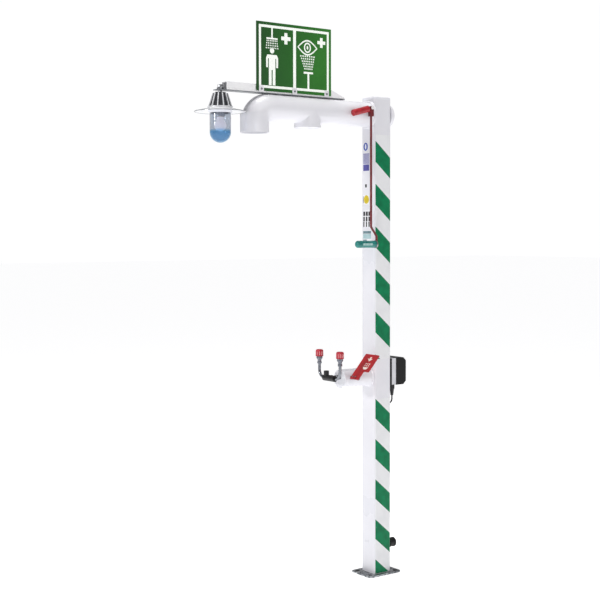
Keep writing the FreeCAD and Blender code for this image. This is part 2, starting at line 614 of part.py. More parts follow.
def drench_lever():
    y, z, x = -d.lever_at, d.arm_height, d.lever_side
    ball_valve("drench_valve", y, z, "valve_radius", d.valve_half, "ball_radius", "ball_bore",
               "stem_radius", "boss_reach")
    node(rod("drench_stem", at(d.ball_radius - STEM_LAP, y, z, "+X"), "stem_radius",
             d.lever_side - d.core_radius - d.ball_radius + STEM_LAP))
    rise = math.radians(d.lever_angle)
    lean = Rotation(Vector(1, 0, 0), -90 + d.lever_angle)
    along = Vector(0, math.cos(rise), math.sin(rise))
    up = Vector(0, -math.sin(rise), math.cos(rise))
    pivot = Vector(x, y, z)

    def on_lever(reach):
        return Placement(pivot + along * reach, lean)

    def lever_slab(name, start, length, low, high, inner, outer):
        corner = pivot + along * start + up * low + Vector(inner - x, 0, 0)
        return slab(name, tuple(corner), outer - inner, length, high - low,
                    Rotation(Vector(1, 0, 0), d.lever_angle))

    nose = 2
    core = rod("lever_core", on_lever(-d.core_start), "core_radius", "lever_reach - 1")
    sleeve = fused("sleeve_blank",
                   rod("sleeve_barrel", on_lever(-d.sleeve_start), "sleeve_radius",
                       d.sleeve_long - nose),
                   cone("sleeve_nose", on_lever(d.sleeve_long - nose - d.sleeve_start),
                        "sleeve_radius", d.sleeve_radius - nose, nose))
    node(cut("drench_lever_sleeve", sleeve,
             rod("sleeve_bore", on_lever(-d.core_start), "core_radius", "lever_reach + 15"),
             rod("sleeve_stem_way", at(x - 20, y, z, "+X"), "stem_radius + run_gap", 20)))
    pin_at = pivot + along * d.lever_reach
    half = d.eye_half
    tongue = lever_slab("lever_tongue", d.tongue_from, d.lever_reach - d.tongue_from,
                        -d.core_radius, d.core_radius, x - half, x + half)
    eye = rod("lever_eye", at(x - half, pin_at.y, pin_at.z, "+X"), "eye_radius", "2 * eye_half")
    node(cut("drench_lever", fused("lever_blank", core, tongue, eye),
             rod("lever_pin_way", at(x - 20, pin_at.y, pin_at.z, "+X"), "pin_radius", 40)))
    inner, outer = x - d.clevis_half - 4, x + d.clevis_half + d.pin_play
    node(fused("drench_lever_pin",
               rod("pin_shank", at(inner, pin_at.y, pin_at.z, "+X"), "pin_radius",
                   outer - inner + d.over),
               rod("pin_head", at(outer, pin_at.y, pin_at.z, "+X"), "pin_head",
                   "pin_head_thick")))
    pull_rod(pin_at)


def pull_rod(pin_at):
    x, y = pin_at.x, pin_at.y
    back = y + d.jog_back
    path = [(x, y, pin_at.z - d.clevis_low + 6), (x, y, d.jog_top), (x, back, d.jog_low),
            (x, back, d.grip_height), (x, -d.rod_tip, d.grip_height)]
    stem = bent("rod_stem", path, [d.jog_bend, d.jog_bend, d.grip_bend], d.rod_radius)
    grip_way = bent("grip_way", path[2:], [d.grip_bend], d.rod_radius + d.run_gap)
    wide, high = d.clevis_half, d.clevis_low + d.clevis_top
    clevis = post("clevis_blank", at(x, y, pin_at.z - d.clevis_low), 2 * wide, "2 * clevis_deep",
                  high, 2)
    slot = slab("clevis_slot", (x - d.eye_half - d.pin_play, y - 20, pin_at.z - d.slot_low),
                "2 * eye_half + 2 * pin_play", 40, 40)
    way = rod("clevis_pin_way", at(x - 20, y, pin_at.z, "+X"), "pin_radius + run_gap", 40)
    node(cut("pull_rod", fused("rod_blank", stem, clevis), slot, way))
    z = d.grip_height
    node(cut("pull_ferrule", turned("ferrule_blank", at(x, -d.grip_start, z, "+Y"), [
        (0, 0), ("ferrule_radius", 0), ("ferrule_radius", "ferrule_flange"),
        ("ferrule_radius - 5", "ferrule_long"), (0, "ferrule_long")]), grip_way))
    grip = cut("pull_grip_barrel", turned("grip_blank", at(x, -d.grip_start, z, "-Y"), [
        (0, 0), ("grip_radius", 0), ("grip_radius", "grip_end - grip_start"),
        (0, "grip_end - grip_start")]), grip_way)
    tip = d.grip_tip - d.grip_end
    node(group("pull_grip", grip, turned("grip_tip_cap", at(x, -d.grip_end, z, "-Y"), [
        (0, 0), ("grip_radius", 0), ("grip_radius", tip - 9), ("grip_radius - 2.5", tip - 4),
        ("grip_radius - 7.5", tip - 1), (0, tip)])))


# ---- eyewash -------------------------------------------------------------------------------------

def eyewash():
    z, face = d.branch_height, d.column_side / 2
    water = d.wash_height
    jacket = tube("branch_blank", at(0, -face, z, "-Y"), "branch_radius",
                  "branch_radius - branch_wall", "branch_end - column_side / 2")
    ring = turned("eyewash_branch_ring", at(0, -face, z, "-Y"), [
        ("branch_radius - 2", 0), ("ring_radius", 0), ("ring_radius", "ring_foot"),
        ("branch_radius - 2", "ring_high")])
    node(fused("eyewash_branch", ring, cut("branch_tube", jacket, rod(
        "branch_stem_way", at(0, -d.wash_at, water, "+X"), "wash_stem + port_gap", 60))))
    node(cut("eyewash_branch_cap", rod("branch_cap_blank", at(0, -d.branch_end, z, "-Y"),
                                       "branch_radius", "branch_cap"),
             rod("branch_cap_way", at(0, -d.branch_end, water, "-Y"), "wash_nipple + fit_gap",
                 "branch_cap")))
    ball_valve("eyewash_valve", -d.wash_at, water, "wash_valve", d.wash_half, "wash_ball",
               "wash_bore", "wash_stem", "wash_boss")
    near = d.riser_radius + 2 * d.fit_gap
    supply = tube("eyewash_supply", at(0, -near, water, "-Y"), "wash_radius",
                  "wash_radius - wash_wall", d.wash_at - d.wash_half - near)
    start = d.wash_at + d.wash_half
    node(group("eyewash_pipes", supply,
               tube("eyewash_nipple", at(0, -start, water, "-Y"), "wash_nipple",
                    "wash_nipple_bore", f"manifold_at - manifold_radius - {start}")))

    y = -d.manifold_at
    run = fused("manifold_blank",
                rod("manifold_run", at(-d.manifold_half, y, water, "+X"), "manifold_radius",
                    "2 * manifold_half"),
                rod("manifold_leg", at(0, y, water, "+Y"), "manifold_radius - 0.5",
                    "manifold_radius"),
                primitive("Prism", "manifold_strainer", at(-d.strainer_at, y, water),
                          Circumradius="strainer_radius", Height="strainer_high"))
    node(cut("eyewash_manifold", run,
             rod("manifold_bore", at(-d.manifold_half, y, water, "+X"),
                 "manifold_bore", "2 * manifold_half"),
             rod("manifold_leg_bore", at(0, y, water, "+Y"), "wash_nipple_bore",
                 "manifold_radius + over")))
    tubes, nozzles, discs = [], [], []
    for side, sign_x in (("left", -1), ("right", 1)):
        x = sign_x * d.nozzle_half
        tubes.append(bent(
            f"tube_{side}",
            [(sign_x * d.manifold_half, y, water), (x, y, water), (x, y, d.nozzle_low)],
            [d.hose_bend], d.hose_radius, d.hose_radius - d.hose_wall))
        nozzles.append(turned(f"nozzle_{side}", at(x, y, d.nozzle_low), [
            (4, 0), (9.5, 0), (9.5, 8), ("nozzle_radius", 15), ("nozzle_radius", 36),
            (11, 36), (11, 20), (4, 12)]))
        discs.append(tube(f"spray_disc_{side}", at(x, y, d.nozzle_top - d.disc_down),
                          "disc_radius", 2, "disc_thick"))
        node(turned(f"eyewash_cap_{side}", at(x, y, d.cap_low), [
            ("nozzle_radius + cap_gap", "0.01"), ("cap_radius", "0.01"), ("cap_radius", 27),
            ("cap_radius - 2", 31), ("cap_radius - 6", "cap_top - cap_low"),
            (0, "cap_top - cap_low"), (0, "nozzle_top - cap_low + cap_rest"),
            ("nozzle_radius + cap_gap", "nozzle_top - cap_low + cap_rest")]))
    node(group("eyewash_tubes", *tubes))
    node(group("eyewash_nozzles", *nozzles))
    node(group("eyewash_spray_discs", *discs))


def push_plate():
    x, y, z = d.flag_near, -d.wash_at, d.wash_height
    stem = rod("wash_stem_bar", at(d.wash_ball - STEM_LAP, y, z, "+X"), "wash_stem",
               d.flag_near + d.wash_stem - d.wash_ball + STEM_LAP)
    node(fused("push_plate_stem", stem,
               rod("push_plate_hub", at(x, y, z, "+X"), "hub_radius", "hub_long")))
    tilt = Rotation(Vector(1, 0, 0), d.flag_angle)
    rise = math.radians(d.flag_angle)
    front = Vector(0, -math.sin(rise), math.cos(rise))
    corners = [("0.01", "-tab_reach"), ("tab_wide", "-tab_reach"), ("tab_wide", "tab_long"),
               ("flag_wide", "tab_long"), ("flag_wide", "flag_long"), ("0.01", "flag_long")]
    back_at = d.hub_radius + 0.01
    plate = padded("push_plate", Placement(Vector(x, y, z) + front * back_at, tilt), "XY_Plane",
                   corners, "flag_thick")
    node(rounded(plate, "flag_corner", upright))
    screws = [rod(f"push_plate_screw_{i}",
                  Placement(Vector(x + reach, y, z) + front * (back_at + d.flag_thick), tilt),
                  "flag_screw", "flag_screw_high") for i, reach in enumerate((14, 34))]
    node(group("push_plate_screws", *screws))


# ---- junction box and heating cable -------------------------------------------------------------

def junction_box():
    face = d.column_side / 2
    back = face + d.box_deep
    base = slab("box_blank", (-d.box_side / 2, face, d.box_low), "box_side", "box_deep",
                "box_high")
    well = slab("box_well", (-d.box_side / 2 + d.box_wall, face + d.box_wall,
                             d.box_low + d.box_wall), "box_side - 2 * box_wall", "box_deep",
                "box_high - 2 * box_wall")
    node(cut("junction_box_base", base, well,
             rod("box_gland_hole", at(d.gland_across, d.gland_back, d.box_low - d.over),
                 "gland_hole", "box_wall + 2 * over")))
    c = "cover_chamfer"
    shell = padded("cover_outside", at(0, back, d.cover_low), "YZ_Plane", [
        ("0.01", "0.01"), (f"cover_deep - {c}", "0.01"), ("cover_deep", c),
        ("cover_deep", f"cover_high - {c}"), (f"cover_deep - {c}", "cover_high"),
        ("0.01", "cover_high")], "cover_side", True)
    rounded(shell, "cover_round", lambda e: min(v.Y for v in e.Vertexes) > d.cover_deep / 2)
    rim = d.cover_chamfer + d.over
    well = slab("cover_well", (-d.cover_side / 2 + d.cover_wall, back - d.over, d.cover_low + rim),
                "cover_side - 2 * cover_wall", "cover_deep - cover_wall - 2 * over",
                d.cover_high - 2 * rim)
    node(cut("junction_box_cover", shell, well))
    middle = d.cover_low + d.cover_high / 2
    screws = [rod(f"cover_screw_{i}", at(x * d.screw_across, back + d.cover_deep,
                                         middle + s * d.screw_along, "+Y"),
                  "cover_screw", "cover_screw_high")
              for i, (x, s) in enumerate([(1, 1), (-1, 1), (-1, -1), (1, -1)])]
    node(group("junction_box_screws", *screws))
    node(slab("terminal_block", (-d.terminal_wide / 2, face + d.box_wall,
                                 d.box_low + d.terminal_up),
              "terminal_wide", "terminal_deep", "terminal_high"))
    low, nut_low = d.gland_low, d.box_low - d.gland_nut
    gland = cut("gland", fused(
        "gland_blank",
        rod("gland_nut_blank", at(d.gland_across, d.gland_back, nut_low), "gland_radius",
            "gland_nut"),
        cone("gland_dome", at(d.gland_across, d.gland_back, low), "2 * cable_radius",
             "gland_radius - 2", nut_low - low),
        rod("gland_thread", at(d.gland_across, d.gland_back, d.box_low), "gland_hole - 0.1",
            "box_wall")),
        rod("gland_bore", at(d.gland_across, d.gland_back, low - d.over), "cable_radius",
            "box_low - gland_low + 2 * box_wall"))
    x, y = d.gland_across, d.gland_back
    node(bent("heating_cable", [(x, y, d.box_low + d.cable_in_box), (x, y, d.cable_turn),
                                (x, d.cable_inside, d.cable_turn),
                                (x, d.cable_inside, d.cable_top)],
              [d.cable_bend_out, d.cable_bend_in], d.cable_radius))
    node(group("cable_glands", gland, tube(
        "cable_bush", at(x, face - d.column_wall, d.cable_turn, "+Y"),
        "cable_radius + bush_wall", "cable_radius + bush_gap", "column_wall + bush_proud")))


# ---- tape and labels on the jacket ------------------------------------------------------------------

def hazard_tape():
    grown = "column_side + 2 * tape_thick"
    strips = []
    for name, low, top in (("upper_tape", d.tape_break_top, d.tape_top),
                           ("lower_tape", d.tape_low, d.tape_break_low)):
        skin = post(name + "_outside", at(0, 0, low), grown, grown, top - low,
                    "column_corner + tape_thick")
        core = post(name + "_core", at(0, 0, low - d.over), "column_side", "column_side",
                    top - low + 2 * d.over, "column_corner")
        keep = slab(name + "_keep", (30, -d.tape_start, low), 40, "tape_start + 51", top - low)
        strips.append(common(name, cut(name + "_ring", skin, core), keep))
    node(group("hazard_tape", *strips))


def front_labels():
    """Six stickers under one another, each (lowest height, height, left edge, width)."""
    plates = [(2084, 42, -39, 38), (1985, 92, -38, 50), (1903, 22, -24, 18), (1824, 46, -37, 46),
              (1712, 86, -39, 64), (1640, 56, -39, 66)]
    face = -d.column_side / 2
    made = [slab(f"label_{i}", (left, face - d.tape_thick, low), wide, "tape_thick", high)
            for i, (low, high, left, wide) in enumerate(plates)]
    node(group("front_labels", *made))


floor_plate()
riser()
supply_inlet()
column()
arm_pipework()
arm_jackets()
shower_rose()
support_rail()
sign()
lamp()
drench_lever()
eyewash()
push_plate()
junction_box()
hazard_tape()
front_labels()
doc.recompute()

for made in doc.Objects:
    assert not {"Invalid", "Error"} & set(made.State), f"{made.Name}: {made.State}"
os.makedirs("parts", exist_ok=True)
for made in nodes:
    shape = made.Shape
    assert not shape.isNull() and shape.isValid() and shape.Volume > 0, made.Label
    shape.exportStep(f"parts/{made.Label}.step")
print(len(nodes), "sub-parts written")
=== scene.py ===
import math

import bmesh
import bpy
from mathutils import Matrix, Vector


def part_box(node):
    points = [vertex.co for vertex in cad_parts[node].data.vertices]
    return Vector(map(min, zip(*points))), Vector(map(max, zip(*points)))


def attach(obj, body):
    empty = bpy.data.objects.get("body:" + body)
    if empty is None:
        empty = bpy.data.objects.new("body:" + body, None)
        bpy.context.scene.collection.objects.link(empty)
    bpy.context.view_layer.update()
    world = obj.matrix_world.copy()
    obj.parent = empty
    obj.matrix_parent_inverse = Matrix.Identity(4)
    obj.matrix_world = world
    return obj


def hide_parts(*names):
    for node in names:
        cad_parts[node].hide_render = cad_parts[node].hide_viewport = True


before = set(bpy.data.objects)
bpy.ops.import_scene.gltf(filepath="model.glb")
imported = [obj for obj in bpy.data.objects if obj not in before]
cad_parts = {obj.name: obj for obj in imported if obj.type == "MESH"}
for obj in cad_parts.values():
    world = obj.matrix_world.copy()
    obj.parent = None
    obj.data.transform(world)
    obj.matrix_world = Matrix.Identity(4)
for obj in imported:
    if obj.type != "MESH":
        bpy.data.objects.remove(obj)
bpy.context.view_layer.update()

# ---- The studio ----------------------------------------------------------------------------
# A seamless pale floor, one small soft box on the side of the user, a weaker one to the right
# and a large one overhead. The camera stands at a person's eye height, right of the arm.


def linear(code):
    """An sRGB hex colour as the linear numbers that a shader takes."""
    channels = [int(code[i:i + 2], 16) / 255 for i in (1, 3, 5)]
    return tuple(c / 12.92 if c <= 0.04045 else ((c + 0.055) / 1.055) ** 2.4
                 for c in channels) + (1.0,)


def add(tree, kind, inputs=None, stops=None, **settings):
    """Adds one node. An input is a value, or the output of another node."""
    node = tree.nodes.new("ShaderNode" + kind)
    for name, value in settings.items():
        setattr(node, name, value)
    for name, value in (inputs or {}).items():
        if isinstance(value, bpy.types.NodeSocket):
            tree.links.new(value, node.inputs[name])
        else:
            node.inputs[name].default_value = value
    if stops:
        ramp = node.color_ramp.elements
        while len(ramp) < len(stops):
            ramp.new(0.5)
        for stop, (place, colour) in zip(ramp, stops):
            stop.position, stop.color = place, linear(colour)
    return node


def link_up(piece):
    bpy.context.scene.collection.objects.link(piece)
    return piece


def solid(name, points, faces):
    """A mesh piece from its points, in metres, and its faces."""
    mesh = bpy.data.meshes.new(name)
    mesh.from_pydata([tuple(p) for p in points], [], faces)
    tidy = bmesh.new()
    tidy.from_mesh(mesh)
    bmesh.ops.recalc_face_normals(tidy, faces=tidy.faces)
    tidy.to_mesh(mesh)
    tidy.free()
    return link_up(bpy.data.objects.new(name, mesh))


FLOOR_HALF, FLOOR_TOP = 60, -0.0005
floor = solid("studio_floor", [(x * FLOOR_HALF, y * FLOOR_HALF, FLOOR_TOP)
                               for x, y in ((-1, -1), (1, -1), (1, 1), (-1, 1))], [(0, 1, 2, 3)])
# Matt paper that lights the underside of the arm and shows no edge behind the object.
paper = bpy.data.materials.new("seamless paper")
paper.use_nodes = True
paper_tree = paper.node_tree
paper_shader = paper_tree.nodes["Principled BSDF"]
paper_shader.inputs["Roughness"].default_value = 0.9
paper_shader.inputs["Specular IOR Level"].default_value = 0.1
paper_shader.inputs["Emission Color"].default_value = linear("#FFFFFF")
paper_shader.inputs["Emission Strength"].default_value = 0.65
paper_fibre = add(paper_tree, "TexNoise", {
    "Vector": add(paper_tree, "TexCoord").outputs["Object"], "Scale": 6.0, "Detail": 3.0})
paper_tree.links.new(add(paper_tree, "ValToRGB", {"Fac": paper_fibre.outputs["Fac"]},
                         stops=[(0.2, "#F3F3F5"), (0.8, "#F8F8F9")]).outputs["Color"],
                     paper_shader.inputs["Base Color"])
floor.data.materials.append(paper)

# The air around is white to look at and through glass, and much dimmer as a light.
sky = bpy.data.worlds.new("studio_air")
bpy.context.scene.world = sky
sky.use_nodes = True
air = sky.node_tree.nodes["Background"]
air.inputs["Color"].default_value = linear("#FEFEFF")
ray = add(sky.node_tree, "LightPath").outputs
seen = add(sky.node_tree, "Math", {0: ray["Is Camera Ray"], 1: ray["Is Transmission Ray"]},
           operation="MAXIMUM")
SEEN_WHITE, LIT_WHITE = 1.02, 0.36
sky.node_tree.links.new(add(sky.node_tree, "MapRange", {
    "Value": seen.outputs[0], "To Min": LIT_WHITE, "To Max": SEEN_WHITE,
}).outputs["Result"], air.inputs["Strength"])


def soft_box(name, place, aim, size, power, tint):
    """A rectangular light turned towards a point; its size is in metres, its power in watts."""
    lamp = bpy.data.lights.new(name, "AREA")
    lamp.shape, lamp.size, lamp.size_y = "RECTANGLE", size[0], size[1]
    lamp.energy, lamp.color = power, linear(tint)[:3]
    holder = link_up(bpy.data.objects.new(name, lamp))
    holder.location = place
    holder.rotation_euler = (Vector(aim) - Vector(place)).to_track_quat("-Z", "Y").to_euler()


soft_box("box_front", (-0.3, -6.2, 2.9), (0, 0, 1.4), (0.5, 0.5), 92, "#FFFFFF")
soft_box("box_camera", (5.5, -1.2, 4.2), (0, 0, 1.3), (1.0, 1.3), 30, "#FFF9F4")
soft_box("box_top", (0.0, -0.6, 6.0), (0, -0.4, 1.2), (1.5, 1.5), 150, "#FFFDFB")

LENS_MM, FILM_MM, SHIFT = 71.989, 36, -0.04
STANDS_AT = (4.5616, -3.7743, 1.6839)
HEADING, PITCH, ROLL = math.radians(54.031), math.radians(2.054), math.radians(-0.107)
view = bpy.data.cameras.new("standing_view")
view.lens, view.sensor_width, view.shift_y = LENS_MM, FILM_MM, SHIFT
camera = link_up(bpy.data.objects.new("standing_view", view))
camera.matrix_world = (Matrix.Translation(STANDS_AT)
                       @ Matrix.Rotation(HEADING, 4, "Z")
                       @ Matrix.Rotation(math.pi / 2 - PITCH, 4, "X")
                       @ Matrix.Rotation(ROLL, 4, "Z"))
bpy.context.scene.camera = camera
bpy.context.scene.view_settings.view_transform = "Standard"

# ---- Base plate and pipework ---------------------------------------------------------------
# An 8 mm mild-steel plate with a welded socket, drilled for four anchor bolts, then hot-dip
# galvanised. The riser, the arm pipes and their fittings inside the shells are galvanised too.


def finish(name, colours, rough, metal=0.0, patch_mm=60.0, grain_mm=1.5, relief_mm=0.05,
           vary=0.06, **sockets):
    """A material with drifting colour, uneven gloss and a fine relief, all at real sizes."""
    made = bpy.data.materials.new(name)
    made.use_nodes = True
    tree = made.node_tree
    shader = tree.nodes["Principled BSDF"]
    shader.inputs["Metallic"].default_value = metal
    for socket, value in sockets.items():
        shader.inputs[socket.replace("_", " ")].default_value = value
    where = add(tree, "TexCoord").outputs["Object"]
    drift = add(tree, "TexNoise", {"Vector": where, "Scale": 1000 / patch_mm, "Detail": 4.0})
    spread = [(0.3 + 0.4 * i / (len(colours) - 1), c) for i, c in enumerate(colours)]
    tint = add(tree, "ValToRGB", {"Fac": drift.outputs["Fac"]}, stops=spread)
    tree.links.new(tint.outputs["Color"], shader.inputs["Base Color"])
    grain = add(tree, "TexNoise", {"Vector": where, "Scale": 1000 / grain_mm, "Detail": 2.0})
    gloss = add(tree, "MapRange", {"Value": drift.outputs["Fac"], "From Min": 0.25,
                                   "From Max": 0.75, "To Min": rough - vary,
                                   "To Max": rough + vary})
    tree.links.new(gloss.outputs["Result"], shader.inputs["Roughness"])
    relief = add(tree, "Bump", {"Height": grain.outputs["Fac"], "Distance": relief_mm / 1000,
                                "Strength": 1.0})
    tree.links.new(relief.outputs["Normal"], shader.inputs["Normal"])
    return made


def soften(piece, edge_mm, angle=35):
    """Smooth shading with small rounded edges, or crisp ones where edge_mm is 0."""
    piece.data.polygons.foreach_set("use_smooth", [True] * len(piece.data.polygons))
    weld = piece.modifiers.new("weld", "WELD")
    weld.merge_threshold = 0.00001
    if edge_mm:
        bevel = piece.modifiers.new("edge", "BEVEL")
        bevel.width, bevel.segments, bevel.limit_method = edge_mm / 1000, 2, "ANGLE"
        bevel.angle_limit = math.radians(angle)
        normals = piece.modifiers.new("normals", "WEIGHTED_NORMAL")
        normals.keep_sharp = True
    else:
        crease = piece.modifiers.new("crease", "EDGE_SPLIT")
        crease.split_angle = math.radians(angle)
    return piece


def coat(material, names, edge_mm=0.0):
    """Gives the CAD nodes named their material and their small rounded edges."""
    for name in names.split():
        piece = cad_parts[name]
        for held in piece.material_slots:
            held.material = material
        soften(piece, edge_mm)


# Hot-dip zinc, dull to half-bright: crystals about 9 mm across, each with its own grey and
# its own gloss.
zinc = finish("hot-dip galvanised steel", ["#8E9296", "#B4B8BB"], 0.42, metal=0.85,
              patch_mm=40, grain_mm=3, relief_mm=0.08)
tree = zinc.node_tree
SPANGLE_MM = 9
crystals = add(tree, "TexVoronoi", {"Vector": add(tree, "TexCoord").outputs["Object"],
                                    "Scale": 1000 / SPANGLE_MM})
greys = add(tree, "ValToRGB", {"Fac": crystals.outputs["Color"]},
            stops=[(0.2, "#54585C"), (0.5, "#868A8E"), (0.8, "#BDC0C3")])
tree.links.new(greys.outputs["Color"], tree.nodes["Principled BSDF"].inputs["Base Color"])
coat(zinc, "riser_pipe riser_top_elbow arm_pipes eyewash_pipes rail_saddles")


def maths(tree, kind, a, b=0.0):
    """One step of arithmetic on numbers or on the outputs of nodes."""
    return add(tree, "Math", {0: a, 1: b}, operation=kind).outputs[0]


def place_in(material):
    """The place of each point of a piece, in metres along the three axes."""
    tree = material.node_tree
    return add(tree, "SeparateXYZ", {"Vector": add(tree, "TexCoord").outputs["Object"]}).outputs


def overlay(material, mask, colours, patch_mm=30):
    """Lays a second colour over the first wherever the mask is 1."""
    tree = material.node_tree
    base = tree.nodes["Principled BSDF"].inputs["Base Color"]
    cloud = add(tree, "TexNoise", {"Vector": add(tree, "TexCoord").outputs["Object"],
                                   "Scale": 1000 / patch_mm, "Detail": 3.0})
    tint = add(tree, "ValToRGB", {"Fac": cloud.outputs["Fac"]},
               stops=[(0.3, colours[0]), (0.7, colours[1])])
    mixed = add(tree, "MixRGB", {"Fac": mask, "Color1": base.links[0].from_socket,
                                 "Color2": tint.outputs["Color"]})
    tree.links.new(mixed.outputs["Color"], base)


# The same zinc with painted shade: dark in each bolt hole and on the plate round it.
zinc_with_hole_shade = zinc.copy()
zinc_with_hole_shade.name = "hot-dip galvanised steel, painted shade at the bolt holes"
tree, place = zinc_with_hole_shade.node_tree, place_in(zinc_with_hole_shade)
HOLE_X, HOLE_Y, HOLE_SHADE_RADIUS = 0.050, 0.078, 0.0105
squares = [maths(tree, "POWER", maths(tree, "SUBTRACT", maths(tree, "ABSOLUTE", place[axis]),
                                      middle), 2.0)
           for axis, middle in (("X", HOLE_X), ("Y", HOLE_Y))]
# Painted shade: the mask of the dark discs over the four bolt holes.
hole_shade_mask = maths(tree, "LESS_THAN", maths(tree, "ADD", *squares), HOLE_SHADE_RADIUS ** 2)
overlay(zinc_with_hole_shade, hole_shade_mask, ["#17181A", "#2B2A2A"], patch_mm=6)
coat(zinc_with_hole_shade, "base_plate", 0.8)

# ---- Column --------------------------------------------------------------------------------
# A square glass-fibre jacket over rigid foam, with a moulded cap pressed into its top. White
# gelcoat: glossy and faintly wavy from the mould, with a thin clear sheen.
gelcoat = finish("white gelcoat on glass fibre", ["#DFE0E7", "#E5E5EB", "#E9E9EE"], 0.30,
                 patch_mm=240, grain_mm=9, relief_mm=0.10, Coat_Weight=0.25,
                 Coat_Roughness=0.12)
coat(gelcoat, "column_jacket")
# Moulded plastic is duller than the gelcoat, and a little whiter.
cap_plastic = finish("moulded white ABS", ["#E2E3EB", "#EBECF2"], 0.38, patch_mm=70,
                     grain_mm=0.8, relief_mm=0.03)
coat(cap_plastic, "column_top_cap", 0.5)
# Cut foam: open cells give it no gloss at all.
foam = finish("yellow rigid foam", ["#D8C27A", "#E6D592"], 0.9, patch_mm=30, grain_mm=2,
              relief_mm=0.4)
coat(foam, "column_foam arm_foam")

# ---- Supply inlet --------------------------------------------------------------------------
# A malleable-iron socket, blacked, screwed onto the riser's nipple low on the back. Its bore
# carries an internal pipe thread, shown as rings at the thread's own pitch.


def lathe(name, profile, place, way="Z", steps=48, flutes=0, flute_mm=0.0, flute_zone=None):
    """Turns a closed profile of (radius, height) in mm about an axis through place.

    With flutes, the radius dips that many times around within flute_zone."""
    turn = {"Z": Matrix.Identity(3), "X": Matrix.Rotation(math.pi / 2, 3, "Y"),
            "Y": Matrix.Rotation(-math.pi / 2, 3, "X"),
            "-Y": Matrix.Rotation(math.pi / 2, 3, "X")}
    turn = turn[way] if isinstance(way, str) else way
    points, faces, rings = [], [], []
    for radius, height in profile:
        if radius == 0:
            rings.append([len(points)] * steps)
            points.append(Vector(place) + turn @ Vector((0, 0, height / 1000)))
            continue
        ring = []
        for i in range(steps):
            angle = 2 * math.pi * i / steps
            size = radius
            if flutes and flute_zone[0] <= height <= flute_zone[1]:
                size -= flute_mm * (0.5 - 0.5 * math.cos(flutes * angle)) ** 2
            ring.append(len(points))
            points.append(Vector(place) + turn @ Vector((size * math.cos(angle) / 1000,
                                                         size * math.sin(angle) / 1000,
                                                         height / 1000)))
        rings.append(ring)
    for low, high in zip(rings, rings[1:] + rings[:1]):
        for i in range(steps):
            j = (i + 1) % steps
            face = [low[i], low[j], high[j], high[i]]
            face = [p for n, p in enumerate(face) if p not in face[:n]]
            if len(face) > 2:
                faces.append(face)
    return solid(name, points, faces)


def fit(piece, material, body, replaced="", edge_mm=0.0):
    """Finishes a piece, fixes it to its body and hides the CAD nodes it stands for."""
    piece.data.materials.append(material)
    soften(piece, edge_mm)
    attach(piece, body)
    if replaced:
        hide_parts(*replaced.split())
    return piece


THREAD_MM, THREAD_TURNS, THREAD_FROM, ROOT_R, CREST_R = 2.3, 10, 12.5, 20.6, 19.5
# Blacked iron: nearly black, with the pitted gloss of a casting.
blacked_iron = finish("blacked malleable iron", ["#111113", "#1D1D20"], 0.5, metal=0.3,
                      patch_mm=12, grain_mm=0.7, relief_mm=0.08)
inlet_low, inlet_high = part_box("inlet_socket")
inlet_middle = ((inlet_low + inlet_high) / 2).z
thread = []
for turn_at in range(THREAD_TURNS):
    crest_at = THREAD_FROM + turn_at * THREAD_MM
    thread += [(CREST_R, crest_at), (ROOT_R, crest_at + THREAD_MM / 2)]
fit(lathe("inlet_socket_body", [(16.1, 0), (22.2, 0), (23.5, 1.2), (23.5, 8), (21.8, 9.5),
                                (21.8, 25), (23.5, 26.5), (23.5, 34.8), (22.4, 36), (20.6, 36)]
          + thread[::-1] + [(19.0, 12), (16.1, 12)], (0, inlet_low.y, inlet_middle), "Y"),
    blacked_iron, "frame_body", "inlet_socket")

# ---- Arm -----------------------------------------------------------------------------------
# Round glass-fibre shells over foam: a collar against the column, a short stub, a tee whose
# downward boss is plugged, an elbow with the outlet socket, and a round cap behind the column.
coat(gelcoat, "arm_stub arm_tee arm_elbow", 0.0)
coat(gelcoat, "arm_collar back_cap", 0.6)
coat(cap_plastic, "tee_plug", 0.5)

# A stainless rose screwed onto the pipe's end: fine satin, grey between the jets.
stainless = finish("satin stainless steel", ["#A2A5A8", "#B9BCBF"], 0.33, metal=1.0,
                   patch_mm=50, grain_mm=0.6, relief_mm=0.02)
coat(stainless, "shower_rose")

# ---- Rail ----------------------------------------------------------------------------------
# A square steel tube welded along a flat bar, on three saddles over the arm. The tube is
# painted white; the bar stays bare zinc and runs on past the tube as a tongue for the lamp.

# Powder coat has a slight orange-peel relief and a middling gloss.
white_paint = finish("white powder coat on steel", ["#E6E6EB", "#EFEFF2"], 0.36, patch_mm=90,
                     grain_mm=1.2, relief_mm=0.05)
# The rail's white is lighter than the same powder coat on the sign's straps: painted light that
# offsets the shade the sign casts on the rail.
lightened_rail_paint = finish("white paint, painted lighter, over a bare zinc bar", ["#F3F3F6", "#FAFAFB"], 0.36,
                    patch_mm=90, grain_mm=1.2, relief_mm=0.05)
BAR_THICK = 0.0042
bar_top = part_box("support_rail")[0].z + BAR_THICK
overlay(lightened_rail_paint, maths(lightened_rail_paint.node_tree, "LESS_THAN", place_in(lightened_rail_paint)["Z"], bar_top),
        ["#6F7277", "#8A8D92"])
coat(lightened_rail_paint, "support_rail")

# ---- Sign ----------------------------------------------------------------------------------
# A 3 mm aluminium panel, enamelled green, held by three painted straps behind it and three
# folded tabs at its foot. The picture is white reflective film laid on the enamel.

# Stove enamel: even and half glossy, with painted light that makes it lighter towards the column.
sign_green = finish("green stove enamel", ["#1F4823", "#265428"], 0.34, patch_mm=200,
                    grain_mm=4, relief_mm=0.03, Specular_IOR_Level=0.25)
sign_low, sign_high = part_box("sign_panel")
painted_light_ramp = add(sign_green.node_tree, "MapRange", {
    "Value": place_in(sign_green)["Y"], "From Min": sign_low.y, "From Max": sign_high.y})
